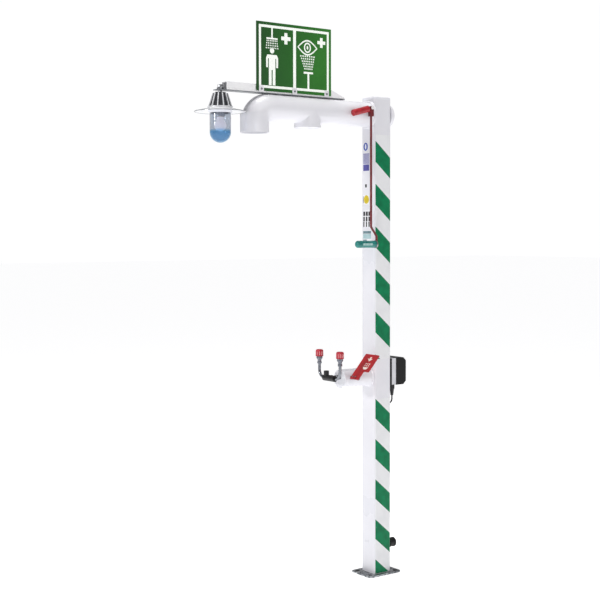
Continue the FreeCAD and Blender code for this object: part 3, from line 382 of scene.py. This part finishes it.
# Painted light: the green grows lighter towards the column end.
overlay(sign_green, painted_light_ramp.outputs["Result"], ["#30762A", "#388330"], patch_mm=160)
coat(sign_green, "sign_panel", 0.4)
coat(white_paint, "sign_stiffeners sign_tabs", 0.3)


def disc(x, y, radius, count=40, tall=None):
    tall = tall or radius
    return [(x + radius * math.cos(2 * math.pi * i / count),
             y + tall * math.sin(2 * math.pi * i / count)) for i in range(count)]


def bar(left, low, right, high):
    return [(left, low), (right, low), (right, high), (left, high)]


def streak(x0, y0, x1, y1, thick):
    """A straight stroke with square ends."""
    length = math.hypot(x1 - x0, y1 - y0)
    dx, dy = (y1 - y0) / length * thick / 2, (x0 - x1) / length * thick / 2
    return [(x0 + dx, y0 + dy), (x1 + dx, y1 + dy), (x1 - dx, y1 - dy), (x0 - dx, y0 - dy)]


def film(name, shapes, origin, across, up, thick_mm=0.3, rings=()):
    """Cut film of real thickness: flat shapes, and rings of two outlines, in mm."""
    across, up = Vector(across), Vector(up)
    out = across.cross(up) * thick_mm / 1000
    points, faces = [], []

    def lay(outline):
        start = len(points)
        for x, y in outline:
            points.append(Vector(origin) + across * x / 1000 + up * y / 1000)
        points.extend([p + out for p in points[start:start + len(outline)]])
        return start

    for shape in shapes:
        n, at = len(shape), lay(shape)
        faces.append([at + n + i for i in range(n)])
        faces.append([at + i for i in reversed(range(n))])
        faces += [[at + i, at + (i + 1) % n, at + n + (i + 1) % n, at + n + i] for i in range(n)]
    for outer, inner in rings:
        n, a, b = len(outer), lay(outer), lay(inner)
        for i in range(n):
            j = (i + 1) % n
            faces += [[a + i, a + j, a + n + j, a + n + i], [b + j, b + i, b + n + i, b + n + j],
                      [a + n + i, a + n + j, b + n + j, b + n + i], [a + j, a + i, b + i, b + j]]
    return solid(name, points, faces)


SIGN_WIDE, SIGN_HIGH = 426, 314
EDGE, LINE, MIDDLE = 14, 11.5, 16
half, low_line, high_line = SIGN_WIDE / 2, EDGE + LINE, SIGN_HIGH - EDGE - LINE
frame_lines = [
    bar(EDGE, EDGE, SIGN_WIDE - EDGE, low_line),
    bar(EDGE, high_line, SIGN_WIDE - EDGE, SIGN_HIGH - EDGE),
    bar(EDGE, low_line, EDGE + LINE, high_line),
    bar(SIGN_WIDE - EDGE - LINE, low_line, SIGN_WIDE - EDGE, high_line),
    bar(half - MIDDLE / 2, low_line, half + MIDDLE / 2, high_line),
]


def plus(x, y, size, thick):
    """A first-aid cross about a point."""
    return [bar(x - size / 2, y - thick / 2, x + size / 2, y + thick / 2),
            bar(x - thick / 2, y + thick / 2, x + thick / 2, y + size / 2),
            bar(x - thick / 2, y - size / 2, x + thick / 2, y - thick / 2)]


# Heights on the sign are shares of its own height; widths are in mm.
person_x = 0.203 * SIGN_WIDE
HEAD_AT, HEAD_R, PIPE_LOW, ROSE_LOW = 0.588, 12, 0.776, 0.753
DROP_ROWS, DROP_TOP, DROP_STEP, DROP_TALL, DROP_WIDE = 4, 0.742, 11, 6, 5
figure = [(33, 0.345), (33, 0.487), (26, 0.530), (-26, 0.530), (-33, 0.487), (-33, 0.345),
          (-23, 0.345), (-23, 0.477), (-18, 0.477), (-18, 0.09), (-3, 0.09), (-3, 0.31),
          (3, 0.31), (3, 0.09), (18, 0.09), (18, 0.477), (23, 0.477), (23, 0.345)]
shower_picture = [
    bar(person_x - 4, PIPE_LOW * SIGN_HIGH, person_x + 4, high_line),
    bar(person_x - 31, ROSE_LOW * SIGN_HIGH, person_x + 31, PIPE_LOW * SIGN_HIGH),
    disc(person_x, HEAD_AT * SIGN_HIGH, HEAD_R),
    [(person_x + x, y * SIGN_HIGH) for x, y in figure],
] + plus(0.385 * SIGN_WIDE, 0.785 * SIGN_HIGH, 52, 17)
for row in range(DROP_ROWS):
    top, apart = DROP_TOP * SIGN_HIGH - row * DROP_STEP, 9 + row / 2
    shower_picture += [streak(person_x + i * apart, top, person_x + i * (apart + 0.2),
                              top - DROP_TALL, DROP_WIDE) for i in range(-3, 4)]

eye_x, eye_y = 0.674 * SIGN_WIDE, 0.688 * SIGN_HIGH
bowl_x, bowl_y = eye_x + 5, 0.331 * SIGN_HIGH
BOWL_HALF, BOWL_TALL, STEM_HALF = 27, 9, 5
SPRAY_ROWS, SPRAY_TOP, SPRAY_STEP, SPRAY_TALL = 6, 0.570, 11.6, 6.5


def almond(grow):
    """The lens shape of an open eye, from two arcs that meet at its corners."""
    count, wide, tall = 24, 51 + grow, 29 + grow
    top = [(eye_x - wide + 2 * wide * i / count,
            eye_y + tall * math.sin(math.pi * i / count)) for i in range(count)]
    return top + [(2 * eye_x - x, 2 * eye_y - y) for x, y in top]


eyewash_picture = [disc(eye_x, eye_y, 4.5, tall=9),
                   bar(bowl_x - BOWL_HALF, bowl_y - BOWL_TALL, bowl_x + BOWL_HALF, bowl_y),
                   bar(bowl_x - STEM_HALF, low_line, bowl_x + STEM_HALF, bowl_y - BOWL_TALL)]
eyewash_picture += plus(0.864 * SIGN_WIDE, 0.783 * SIGN_HIGH, 46, 15)
for row in range(SPRAY_ROWS):
    top, spread = SPRAY_TOP * SIGN_HIGH - row * SPRAY_STEP, 13 - 1.1 * row
    eyewash_picture += [streak(eye_x + i * spread + row, top, eye_x + i * (spread - 0.6) + row,
                               top - SPRAY_TALL, 0.55 * spread) for i in range(-3, 4)]
eye_rings = [(almond(7), almond(0)), (disc(eye_x, eye_y, 20, tall=24),
                                      disc(eye_x, eye_y, 13.5, tall=17.5))]

# Film with a painted glow that stands in for the light it sends back to the viewer, so it looks a
# little brighter than white paint.
reflective = finish("white reflective film", ["#F2F7F1", "#FAFCF8"], 0.35, patch_mm=50,
                    grain_mm=0.5, relief_mm=0.02, Emission_Color=linear("#F4FFF2"),
                    Emission_Strength=0.16)
sign_corner = (sign_high.x, sign_low.y, sign_low.z)
ACROSS, UP = (0, 1, 0), (0, 0, 1)
fit(film("sign_film_frame", frame_lines, sign_corner, ACROSS, UP), reflective, "frame_body")
fit(film("sign_film_shower", shower_picture, sign_corner, ACROSS, UP), reflective,
    "frame_body")
fit(film("sign_film_eyewash", eyewash_picture, sign_corner, ACROSS, UP, rings=eye_rings),
    reflective, "frame_body")

# Zinc-plated steel, brighter and finer than the hot-dip zinc.
zinc_screw = finish("bright zinc-plated screw", ["#8A8C90", "#A4A6AA"], 0.3, metal=1.0,
                    patch_mm=8, grain_mm=0.5, relief_mm=0.02)
coat(zinc_screw, "sign_screws", 0.5)

# ---- Lamp ----------------------------------------------------------------------------------
# A cast-aluminium canopy with tall cooling ribs hangs by a threaded stem from the bar's
# tongue. Below it come an enamelled steel reflector, a white collar and a clear glass.
lamp_low, lamp_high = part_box("lamp_glass")
lamp_y = (lamp_low.y + lamp_high.y) / 2
lamp_place = (0, lamp_y, lamp_low.z)


def reach_from_lamp(material):
    """The distance of each point from the lamp's own axis."""
    tree, place = material.node_tree, place_in(material)
    beside = maths(tree, "SUBTRACT", place["Y"], lamp_y)
    return maths(tree, "POWER", maths(tree, "ADD", maths(tree, "POWER", place["X"], 2.0),
                                      maths(tree, "POWER", beside, 2.0)), 0.5)


# Bright on the ribs, with painted shade that turns it nearly black at the bottom of the grooves.
cast_alloy_groove_shaded = finish("painted cast aluminium", ["#CDCFD3", "#DFE0E3"], 0.35, metal=0.1,
                    patch_mm=18, grain_mm=1.2, relief_mm=0.15)
CORE_RADIUS, CORE_FOOT, CORE_SLOPE = 0.045, 2.249, 0.31
tree = cast_alloy_groove_shaded.node_tree
climb = maths(tree, "MULTIPLY", maths(tree, "SUBTRACT", place_in(cast_alloy_groove_shaded)["Z"], CORE_FOOT),
              CORE_SLOPE)
above_core = maths(tree, "ADD", maths(tree, "SUBTRACT", reach_from_lamp(cast_alloy_groove_shaded),
                                      CORE_RADIUS), climb)
GROOVE_SHADE_STARTS, GROOVE_SHADE_FULL = 0.0075, 0.002
# Painted shade, growing towards the bottom of each groove.
painted_groove_shade = add(tree, "MapRange", {"Value": above_core, "From Min": GROOVE_SHADE_STARTS,
                                "From Max": GROOVE_SHADE_FULL})
overlay(cast_alloy_groove_shaded, painted_groove_shade.outputs["Result"], ["#2A2C30", "#3C3E43"], patch_mm=12)
coat(cast_alloy_groove_shaded, "lamp_canopy", 0.8)
# Vitreous enamel is the glossiest white here, chipped to grey along the rim.
enamel = finish("white vitreous enamel", ["#E9EBEF", "#F2F3F5"], 0.16, patch_mm=60,
                grain_mm=5, relief_mm=0.05, Coat_Weight=0.4)
RIM_FROM = 0.1135
overlay(enamel, maths(enamel.node_tree, "GREATER_THAN", reach_from_lamp(enamel), RIM_FROM),
        ["#83868B", "#9A9DA1"])
coat(enamel, "lamp_reflector", 0.4)
coat(cap_plastic, "lamp_collar lamp_holder", 0.5)
coat(zinc_screw, "lamp_hanger", 0.5)

GLASS_R, GLASS_WALL, GLASS_TALL = 47.5, 3.0, 139.0


def dome(radius, top, centre, count=14):
    """A tube closed by half a ball, as (radius, height) from its lowest point up."""
    arc = [(radius * math.sin(math.pi / 2 * i / count),
            centre - radius * math.cos(math.pi / 2 * i / count)) for i in range(count + 1)]
    return arc + [(radius, centre + (top - centre) * i / 6) for i in range(1, 7)]


# Pressed glass, slightly grey and wavy, dipped in blue lacquer up to a sharp line.
glass = bpy.data.materials.new("clear pressed glass, blue below")
glass.use_nodes = True
tree = glass.node_tree
shader = tree.nodes["Principled BSDF"]
for socket, value in (("IOR", 1.5), ("Transmission Weight", 1.0), ("Roughness", 0.03)):
    shader.inputs[socket].default_value = value
where = add(tree, "TexCoord").outputs["Object"]
height = add(tree, "SeparateXYZ", {"Vector": where})
BLUE_FROM, BLUE_FULL = 2.150, 2.138
blue = add(tree, "MapRange", {"Value": height.outputs["Z"], "From Min": BLUE_FULL,
                              "From Max": BLUE_FROM})
tint = add(tree, "ValToRGB", {"Fac": blue.outputs["Result"]},
           stops=[(0.0, "#84B2D2"), (1.0, "#CDD2DA")])
tree.links.new(tint.outputs["Color"], shader.inputs["Base Color"])
WAVE_MM = 18
waves = add(tree, "TexNoise", {"Vector": where, "Scale": 1000 / WAVE_MM, "Detail": 1.0})
tree.links.new(add(tree, "Bump", {"Height": waves.outputs["Fac"], "Distance": 0.0004,
                                  "Strength": 0.6}).outputs["Normal"], shader.inputs["Normal"])
outside = dome(GLASS_R, GLASS_TALL, GLASS_R)
inside = [(r, h + GLASS_WALL) for r, h in dome(GLASS_R - GLASS_WALL, GLASS_TALL - GLASS_WALL,
                                               GLASS_R - GLASS_WALL)]
fit(lathe("lamp_glass_dome", outside + inside[::-1], lamp_place, steps=72), glass,
    "frame_body", "lamp_glass")

# Frosted glass with a painted glow that stands in for daylight passed on from behind, so the bulb
# looks lit against the dome.
frosted = finish("frosted lamp glass with a painted glow", ["#E9E2EA", "#F5F0F4"], 0.4, patch_mm=30, grain_mm=1,
                 relief_mm=0.02, Emission_Color=linear("#F2ECF2"), Emission_Strength=0.55)
bulb_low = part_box("lamp_bulb")[0]
GLOBE_R, GLOBE_AT = 27, 38
globe = [(GLOBE_R * math.sin(math.pi * 0.66 * i / 16),
          GLOBE_AT - GLOBE_R * math.cos(math.pi * 0.66 * i / 16)) for i in range(17)]
fit(lathe("lamp_bulb_globe", globe + [(21, 56), (16.5, 66), (13, 76), (0, 76)],
          (0, lamp_y, bulb_low.z), steps=48), frosted, "frame_body", "lamp_bulb")
# Rolled brass, thin and bright, pressed into the cap's thread.
brass = finish("lamp cap brass", ["#B9A26A", "#CBB680"], 0.3, metal=1.0, patch_mm=10,
               grain_mm=1, relief_mm=0.03)
CAP_TURNS, CAP_FROM, CAP_PITCH = 5, 78, 4.4
cap_rings = []
for i in range(CAP_TURNS):
    cap_rings += [(13.1, CAP_FROM + i * CAP_PITCH), (12.0, CAP_FROM + (i + 0.5) * CAP_PITCH)]
fit(lathe("lamp_bulb_cap", [(0, 75), (12.9, 75.5)] + cap_rings + [(6, 101), (0, 101)],
          (0, lamp_y, bulb_low.z)), brass, "frame_body")

# ---- Shower valve and lever ----------------------------------------------------------------
# A brass ball valve in the stub. Its stem comes out on the right and carries a steel lever in
# a red vinyl sleeve; a headed pin through the lever's eye holds the pull rod.

# Sand-cast brass: warm and rather dull.
cast_brass = finish("cast brass", ["#A88B4C", "#C0A566"], 0.4, metal=1.0, patch_mm=15,
                    grain_mm=0.8, relief_mm=0.08)
coat(cast_brass, "drench_valve_body eyewash_valve_body")
# Hard chrome on the balls and the stem, the brightest metal here.
chrome = finish("hard chrome plate", ["#C4C6CA", "#D6D8DB"], 0.12, metal=1.0, patch_mm=30,
                grain_mm=6, relief_mm=0.02, vary=0.03)
coat(chrome, "drench_valve_ball drench_stem eyewash_valve_ball")
# Thick enamel over steel, dark enough to stand out as a line against the white column.
dark_red = finish("dark red enamel on steel", ["#5E0F16", "#7A151D"], 0.35, patch_mm=20,
                  grain_mm=1.5, relief_mm=0.05, Coat_Weight=0.2)
coat(dark_red, "drench_lever pull_rod", 0.5)
# Turned nylon: white and waxy.
nylon = finish("white nylon", ["#E5E2E2", "#F0EEEE"], 0.4, patch_mm=10, grain_mm=0.8,
               relief_mm=0.03)
coat(nylon, "drench_lever_pin", 0.6)
# Dipped vinyl: soft gloss, with the slow waves of a coat that ran before it set.
vinyl = finish("dipped red vinyl", ["#8A0917", "#A2101F", "#B01827"], 0.34, patch_mm=25,
               grain_mm=3, relief_mm=0.12, Coat_Weight=0.15)
coat(vinyl, "drench_lever_sleeve", 1.6)

# ---- Pull rod and grip ---------------------------------------------------------------------
# A bent steel rod with a clevis at its top. An aluminium ferrule and a moulded teal grip with
# a glued end cap are pushed onto its short foot. A row of pale ticks is printed on the grip.

# Turned aluminium, a pale warm grey with a fine turned grain.
alloy = finish("turned aluminium", ["#9B9598", "#B5B0B2"], 0.3, metal=1.0, patch_mm=12,
               grain_mm=0.5, relief_mm=0.03)
coat(alloy, "pull_ferrule", 0.6)
# Moulded PVC, half glossy, with a pale printed patch on the side of the user.
teal = finish("moulded teal PVC", ["#0E6F6A", "#17837C"], 0.32, patch_mm=30, grain_mm=1.5,
              relief_mm=0.05, Coat_Weight=0.2)
grip_low, grip_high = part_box("pull_grip")
grip_x, grip_z = (grip_low.x + grip_high.x) / 2, (grip_low.z + grip_high.z) / 2
tree, place = teal.node_tree, place_in(teal)
PATCH_MIDDLE, PATCH_HALF_LONG, PATCH_HALF_HIGH = -0.132, 0.030, 0.0055
TICK, TICK_GAP = 0.0085, 0.28
printed = maths(tree, "LESS_THAN", maths(tree, "ABSOLUTE", maths(
    tree, "SUBTRACT", place["Y"], PATCH_MIDDLE)), PATCH_HALF_LONG)
for mask in (maths(tree, "LESS_THAN", maths(tree, "ABSOLUTE", maths(
                 tree, "SUBTRACT", place["Z"], grip_z)), PATCH_HALF_HIGH),
             maths(tree, "GREATER_THAN", place["X"], grip_x),
             maths(tree, "GREATER_THAN", maths(tree, "FRACT", maths(
                 tree, "DIVIDE", maths(tree, "ADD", place["Y"], 1.0), TICK)), TICK_GAP)):
    printed = maths(tree, "MULTIPLY", printed, mask)
overlay(teal, printed, ["#A9D3CF", "#C4E2DF"], patch_mm=8)
fit(lathe("pull_grip_barrel", [(5.6, 0), (16.2, 0), (17.5, 1.4), (17.5, 20), (16.9, 22),
                               (16.9, 82), (17.5, 84), (17.5, 97), (16.6, 99.2), (0, 99.2),
                               (0, 75), (5.6, 75)],
          (grip_x, grip_high.y, grip_z), "-Y"), teal, "pull_rod_body",
    "pull_grip", edge_mm=0.4)
fit(lathe("pull_grip_end", [(0, 99.4), (16.6, 99.4), (17.4, 100.6), (17.4, 105), (16.4, 109.2),
                            (14, 112.4), (9.5, 114.6), (4, 115), (0, 115)],
          (grip_x, grip_high.y, grip_z), "-Y"), teal, "pull_rod_body")

# ---- Eyewash -------------------------------------------------------------------------------
# A short insulated branch with a small brass ball valve, a black nylon manifold with a strainer,
# two bent chromed tubes and two nozzles under loose red dust caps.
coat(gelcoat, "eyewash_branch", 0.0)
coat(cap_plastic, "eyewash_branch_cap", 0.6)
# Glass-filled nylon: black, slightly rough from the fibres at its skin.
black_nylon = finish("black glass-filled nylon", ["#0C0D0F", "#1B1C1F"], 0.42, patch_mm=10,
                     grain_mm=0.8, relief_mm=0.12)
coat(black_nylon, "eyewash_manifold", 0.8)
# Bright chrome with a painted reflection: its colour is darkened to stand for the dull
# surroundings that it mirrors.
tube_chrome_dark_reflection = finish("bright chrome on bent tube, painted dark reflection", ["#6E7178", "#9A9DA3"], 0.14, metal=1.0,
                     patch_mm=14, grain_mm=4, relief_mm=0.03, vary=0.04)
coat(tube_chrome_dark_reflection, "eyewash_tubes")
coat(stainless, "eyewash_spray_discs")
# Satin chrome: the same grey, darkened as a painted reflection, with a softer highlight.
satin_chrome_dark_reflection = finish("satin chrome on brass, painted dark reflection", ["#5E616A", "#8A8D96"], 0.24, metal=1.0,
                      patch_mm=10, grain_mm=1, relief_mm=0.03)
coat(satin_chrome_dark_reflection, "eyewash_nozzles", 0.5)
RIBS, CREST_FROM, CREST_HIGHLIGHT = 12, 0.66, 0.6
CREST_MIDDLE, CREST_HALF, NUT_DROP = 0.0145, 0.009, 0.011
for side in ("left", "right"):
    low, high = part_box("eyewash_cap_" + side)
    cap_place = ((low.x + high.x) / 2, (low.y + high.y) / 2, low.z)
    # Crimson plastic with a painted highlight that makes its ribs pale on their crests.
    cap_red = finish("moulded red polyethylene, " + side, ["#A90E27", "#C21B34"], 0.4,
                     patch_mm=12, grain_mm=1, relief_mm=0.05)
    tree, place = cap_red.node_tree, place_in(cap_red)
    round_cap = maths(tree, "ARCTAN2", maths(tree, "SUBTRACT", place["Y"], cap_place[1]),
                      maths(tree, "SUBTRACT", place["X"], cap_place[0]))
    crest = maths(tree, "GREATER_THAN", maths(tree, "FRACT", maths(
        tree, "MULTIPLY", maths(tree, "ADD", round_cap, 2 * math.pi),
        RIBS / (2 * math.pi))), CREST_FROM)
    beside_top = maths(tree, "LESS_THAN", maths(tree, "ABSOLUTE", maths(
        tree, "SUBTRACT", place["Z"], low.z + CREST_MIDDLE)), CREST_HALF)
    crest_highlight = maths(tree, "MULTIPLY", maths(tree, "MULTIPLY", crest, beside_top), CREST_HIGHLIGHT)
    # Painted highlight on the rib crests.
    overlay(cap_red, crest_highlight, ["#E9B4B6", "#F2C9C8"], patch_mm=5)
    fit(lathe("dust_cap_" + side,
              [(15.5, 0), (19, 0.4), (19, 2.6), (18.8, 3), (18.8, 14), (18.8, 25), (18.4, 26),
               (17.6, 29), (15.5, 31.6), (12.5, 33), (0, 33), (0, 11.6), (15.5, 11.4)],
              cap_place, steps=120, flutes=RIBS, flute_mm=1.8, flute_zone=(3, 26)),
        cap_red, side + "_cap", "eyewash_cap_" + side)
    nut = lathe("nozzle_nut_" + side, [(7.3, 0), (10.6, 0), (11.2, 0.8), (11.2, 9.2),
                                       (10.6, 10), (7.3, 10)],
                (cap_place[0], cap_place[1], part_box("eyewash_nozzles")[0].z - NUT_DROP), steps=6)
    fit(nut, satin_chrome_dark_reflection, "frame_body", edge_mm=0.3)

# ---- Push plate ----------------------------------------------------------------------------
# A 3 mm steel flag, folded and enamelled red, screwed to a hub that is one piece with the
# eyewash valve's stem. Two pale marks are printed on it: an arrow, and drops over a bowl.

# Stove enamel in signal red, glossier than the sign's green.
signal_red = finish("signal red enamel", ["#A30D18", "#B8131F"], 0.3, patch_mm=40,
                    grain_mm=3, relief_mm=0.05, Coat_Weight=0.15)
coat(signal_red, "push_plate", 0.5)
coat(zinc_screw, "push_plate_stem push_plate_screws", 0.4)
TILT = math.radians(48)
plate_up = Vector((0, math.cos(TILT), math.sin(TILT)))
plate_out = Vector((0, -math.sin(TILT), math.cos(TILT)))
STEM_AXIS, HUB_MM, PLATE_MM = Vector((0.052, -0.190, 0.987)), 9.01, 3
plate_corner = STEM_AXIS + plate_out * (HUB_MM + PLATE_MM) / 1000
arrow = [(49, 122), (61, 122), (61, 112), (72, 112), (55, 96), (38, 112), (49, 112)]
bowl = [(40, 62), (80, 62), (74, 52), (65, 48), (55, 48), (46, 52)]
drops = [disc(60 + 13 * i, 71 + 11 * row, 3.2, count=16, tall=4.4)
         for row in (0, 1) for i in (-1, 0, 1)]
plate_print = finish("pale print on the plate", ["#EBD9CF", "#F3E6DD"], 0.35, patch_mm=15,
                     grain_mm=1, relief_mm=0.02)
fit(film("push_plate_marks", [arrow, bowl] + drops, plate_corner, (1, 0, 0), plate_up, 0.15),
    plate_print, "push_plate_body")

# ---- Junction box --------------------------------------------------------------------------
# A light-grey moulded base against the column's back, with painted shade along its edge there, a
# black chamfered cover with four screws, and a gland where the heating cable leaves and turns
# back.

# Moulded polycarbonate with a fine mould grain; the dark strip at the column is painted shade.
grey_box = finish("grey moulded polycarbonate", ["#CFD1D7", "#DCDDE2"], 0.45, patch_mm=40,
                  grain_mm=0.7, relief_mm=0.05)
JOINT_SHADE_THICK = 0.008
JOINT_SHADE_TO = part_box("junction_box_base")[0].y + JOINT_SHADE_THICK
overlay(grey_box, maths(grey_box.node_tree, "LESS_THAN", place_in(grey_box)["Y"], JOINT_SHADE_TO),
        ["#17181A", "#232427"])
coat(grey_box, "junction_box_base terminal_block", 0.8)
# The same plastic in black, low in gloss.
black_box = finish("black moulded polycarbonate", ["#050506", "#0D0E10"], 0.45, patch_mm=30,
                   grain_mm=0.7, relief_mm=0.08, Specular_IOR_Level=0.3)
coat(black_box, "junction_box_cover", 0.8)
coat(black_nylon, "cable_glands", 0.6)
coat(zinc_screw, "junction_box_screws", 0.5)
# Extruded rubber sheath: matt black.
cable_sheath = finish("black cable sheath", ["#0D0D0E", "#161617"], 0.5, patch_mm=8,
                      grain_mm=1, relief_mm=0.04)
coat(cable_sheath, "heating_cable")

# ---- Striped tape --------------------------------------------------------------------------
# Self-adhesive film in two lengths on the right-hand face, turned a little over its front
# corner and printed in green and white bars that slope down towards the back.

# Vinyl film: duller than the gelcoat that it covers.
striped = finish("printed vinyl tape", ["#E6E7EA", "#EEEFF1"], 0.42, patch_mm=60, grain_mm=2,
                 relief_mm=0.02, Specular_IOR_Level=0.2)
tree, place = striped.node_tree, place_in(striped)
UPPER_PITCH, LOWER_PITCH, SLOPE, GREEN_SHARE = 0.2075, 0.198, 0.86, 0.49
UPPER_TOP, LOWER_TOP, FACE_FRONT, SPLIT, PLAIN_FROM = 2.123, 0.866, -0.039, 0.97, 2.135
BARS_BELOW = 20
fall = maths(tree, "MULTIPLY", maths(tree, "SUBTRACT", place["Y"], FACE_FRONT), SLOPE)
level = maths(tree, "ADD", place["Z"], fall)
upper, lower = [maths(tree, "FRACT", maths(tree, "DIVIDE", maths(
    tree, "SUBTRACT", top + BARS_BELOW * pitch, level), pitch))
    for top, pitch in ((UPPER_TOP, UPPER_PITCH), (LOWER_TOP, LOWER_PITCH))]
is_upper = maths(tree, "GREATER_THAN", place["Z"], SPLIT)
share = maths(tree, "ADD", maths(tree, "MULTIPLY", upper, is_upper),
              maths(tree, "MULTIPLY", lower, maths(tree, "SUBTRACT", 1.0, is_upper)))
green = maths(tree, "MULTIPLY", maths(tree, "LESS_THAN", share, GREEN_SHARE),
              maths(tree, "LESS_THAN", place["Z"], PLAIN_FROM))
overlay(striped, green, ["#006B44", "#008353"])
coat(striped, "hazard_tape")

# ---- Labels on the front -------------------------------------------------------------------
# Six printed labels stuck one below the other under the arm, each white film with a clear
# face. They carry plain fields and simple marks only.

# Label film, smooth and a little glossier than the tape.
label_white = finish("white label film", ["#E9EAEE", "#F0F1F4"], 0.4, patch_mm=30,
                     grain_mm=0.8, relief_mm=0.02)
coat(label_white, "front_labels")
label_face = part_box("front_labels")[0].y
# Each label's left edge, in mm from the middle of the face; heights are in mm above the floor.
LABEL_LEFT = -39
inks = {
    "blue": ["#31489E", "#3D57B0"], "violet": ["#4A4794", "#5C5AA6"],
    "yellow": ["#CDB51F", "#DCC62F"], "black": ["#1D1E22", "#2A2B30"],
    "grey": ["#5F7A80", "#75909A"], "teal": ["#9CBDC2", "#B2CDD1"],
}
oval = (disc(LABEL_LEFT + 21, 2105, 17, tall=20), disc(LABEL_LEFT + 21, 2105, 6, tall=13))
marks = {
    "blue": [],
    "violet": [bar(LABEL_LEFT + 4 + 8 * i, 2020, LABEL_LEFT + 9 + 8 * i, 2073) for i in range(6)]
    + [bar(LABEL_LEFT + 3, 1987, LABEL_LEFT + 49, 2018)],
    "yellow": [disc(LABEL_LEFT + 27, 1847, 20, tall=21)],
    "black": [bar(-22, 1906, -9, 1922)]
    + [bar(LABEL_LEFT + 3 + 20 * i, 1767 - 27 * j, LABEL_LEFT + 18 + 20 * i - 3 * j,
           1788 - 25 * j) for i in range(3) for j in range(3)]
    + [bar(LABEL_LEFT + 2, 1830, LABEL_LEFT + 5, 1863)],
    "grey": [bar(LABEL_LEFT + 2, 1680, LABEL_LEFT + 63, 1693),
             bar(LABEL_LEFT + 2, 1643, LABEL_LEFT + 30, 1651)],
    "teal": [bar(LABEL_LEFT + 2, 1655, LABEL_LEFT + 63, 1678)],
}
for ink_name, shapes in marks.items():
    ink = finish(ink_name + " print", inks[ink_name], 0.4, patch_mm=20, grain_mm=0.8,
                 relief_mm=0.02)
    fit(film("label_print_" + ink_name, shapes, (0, label_face, 0), (1, 0, 0), UP, 0.15,
             rings=[] if shapes else [oval]), ink, "frame_body")
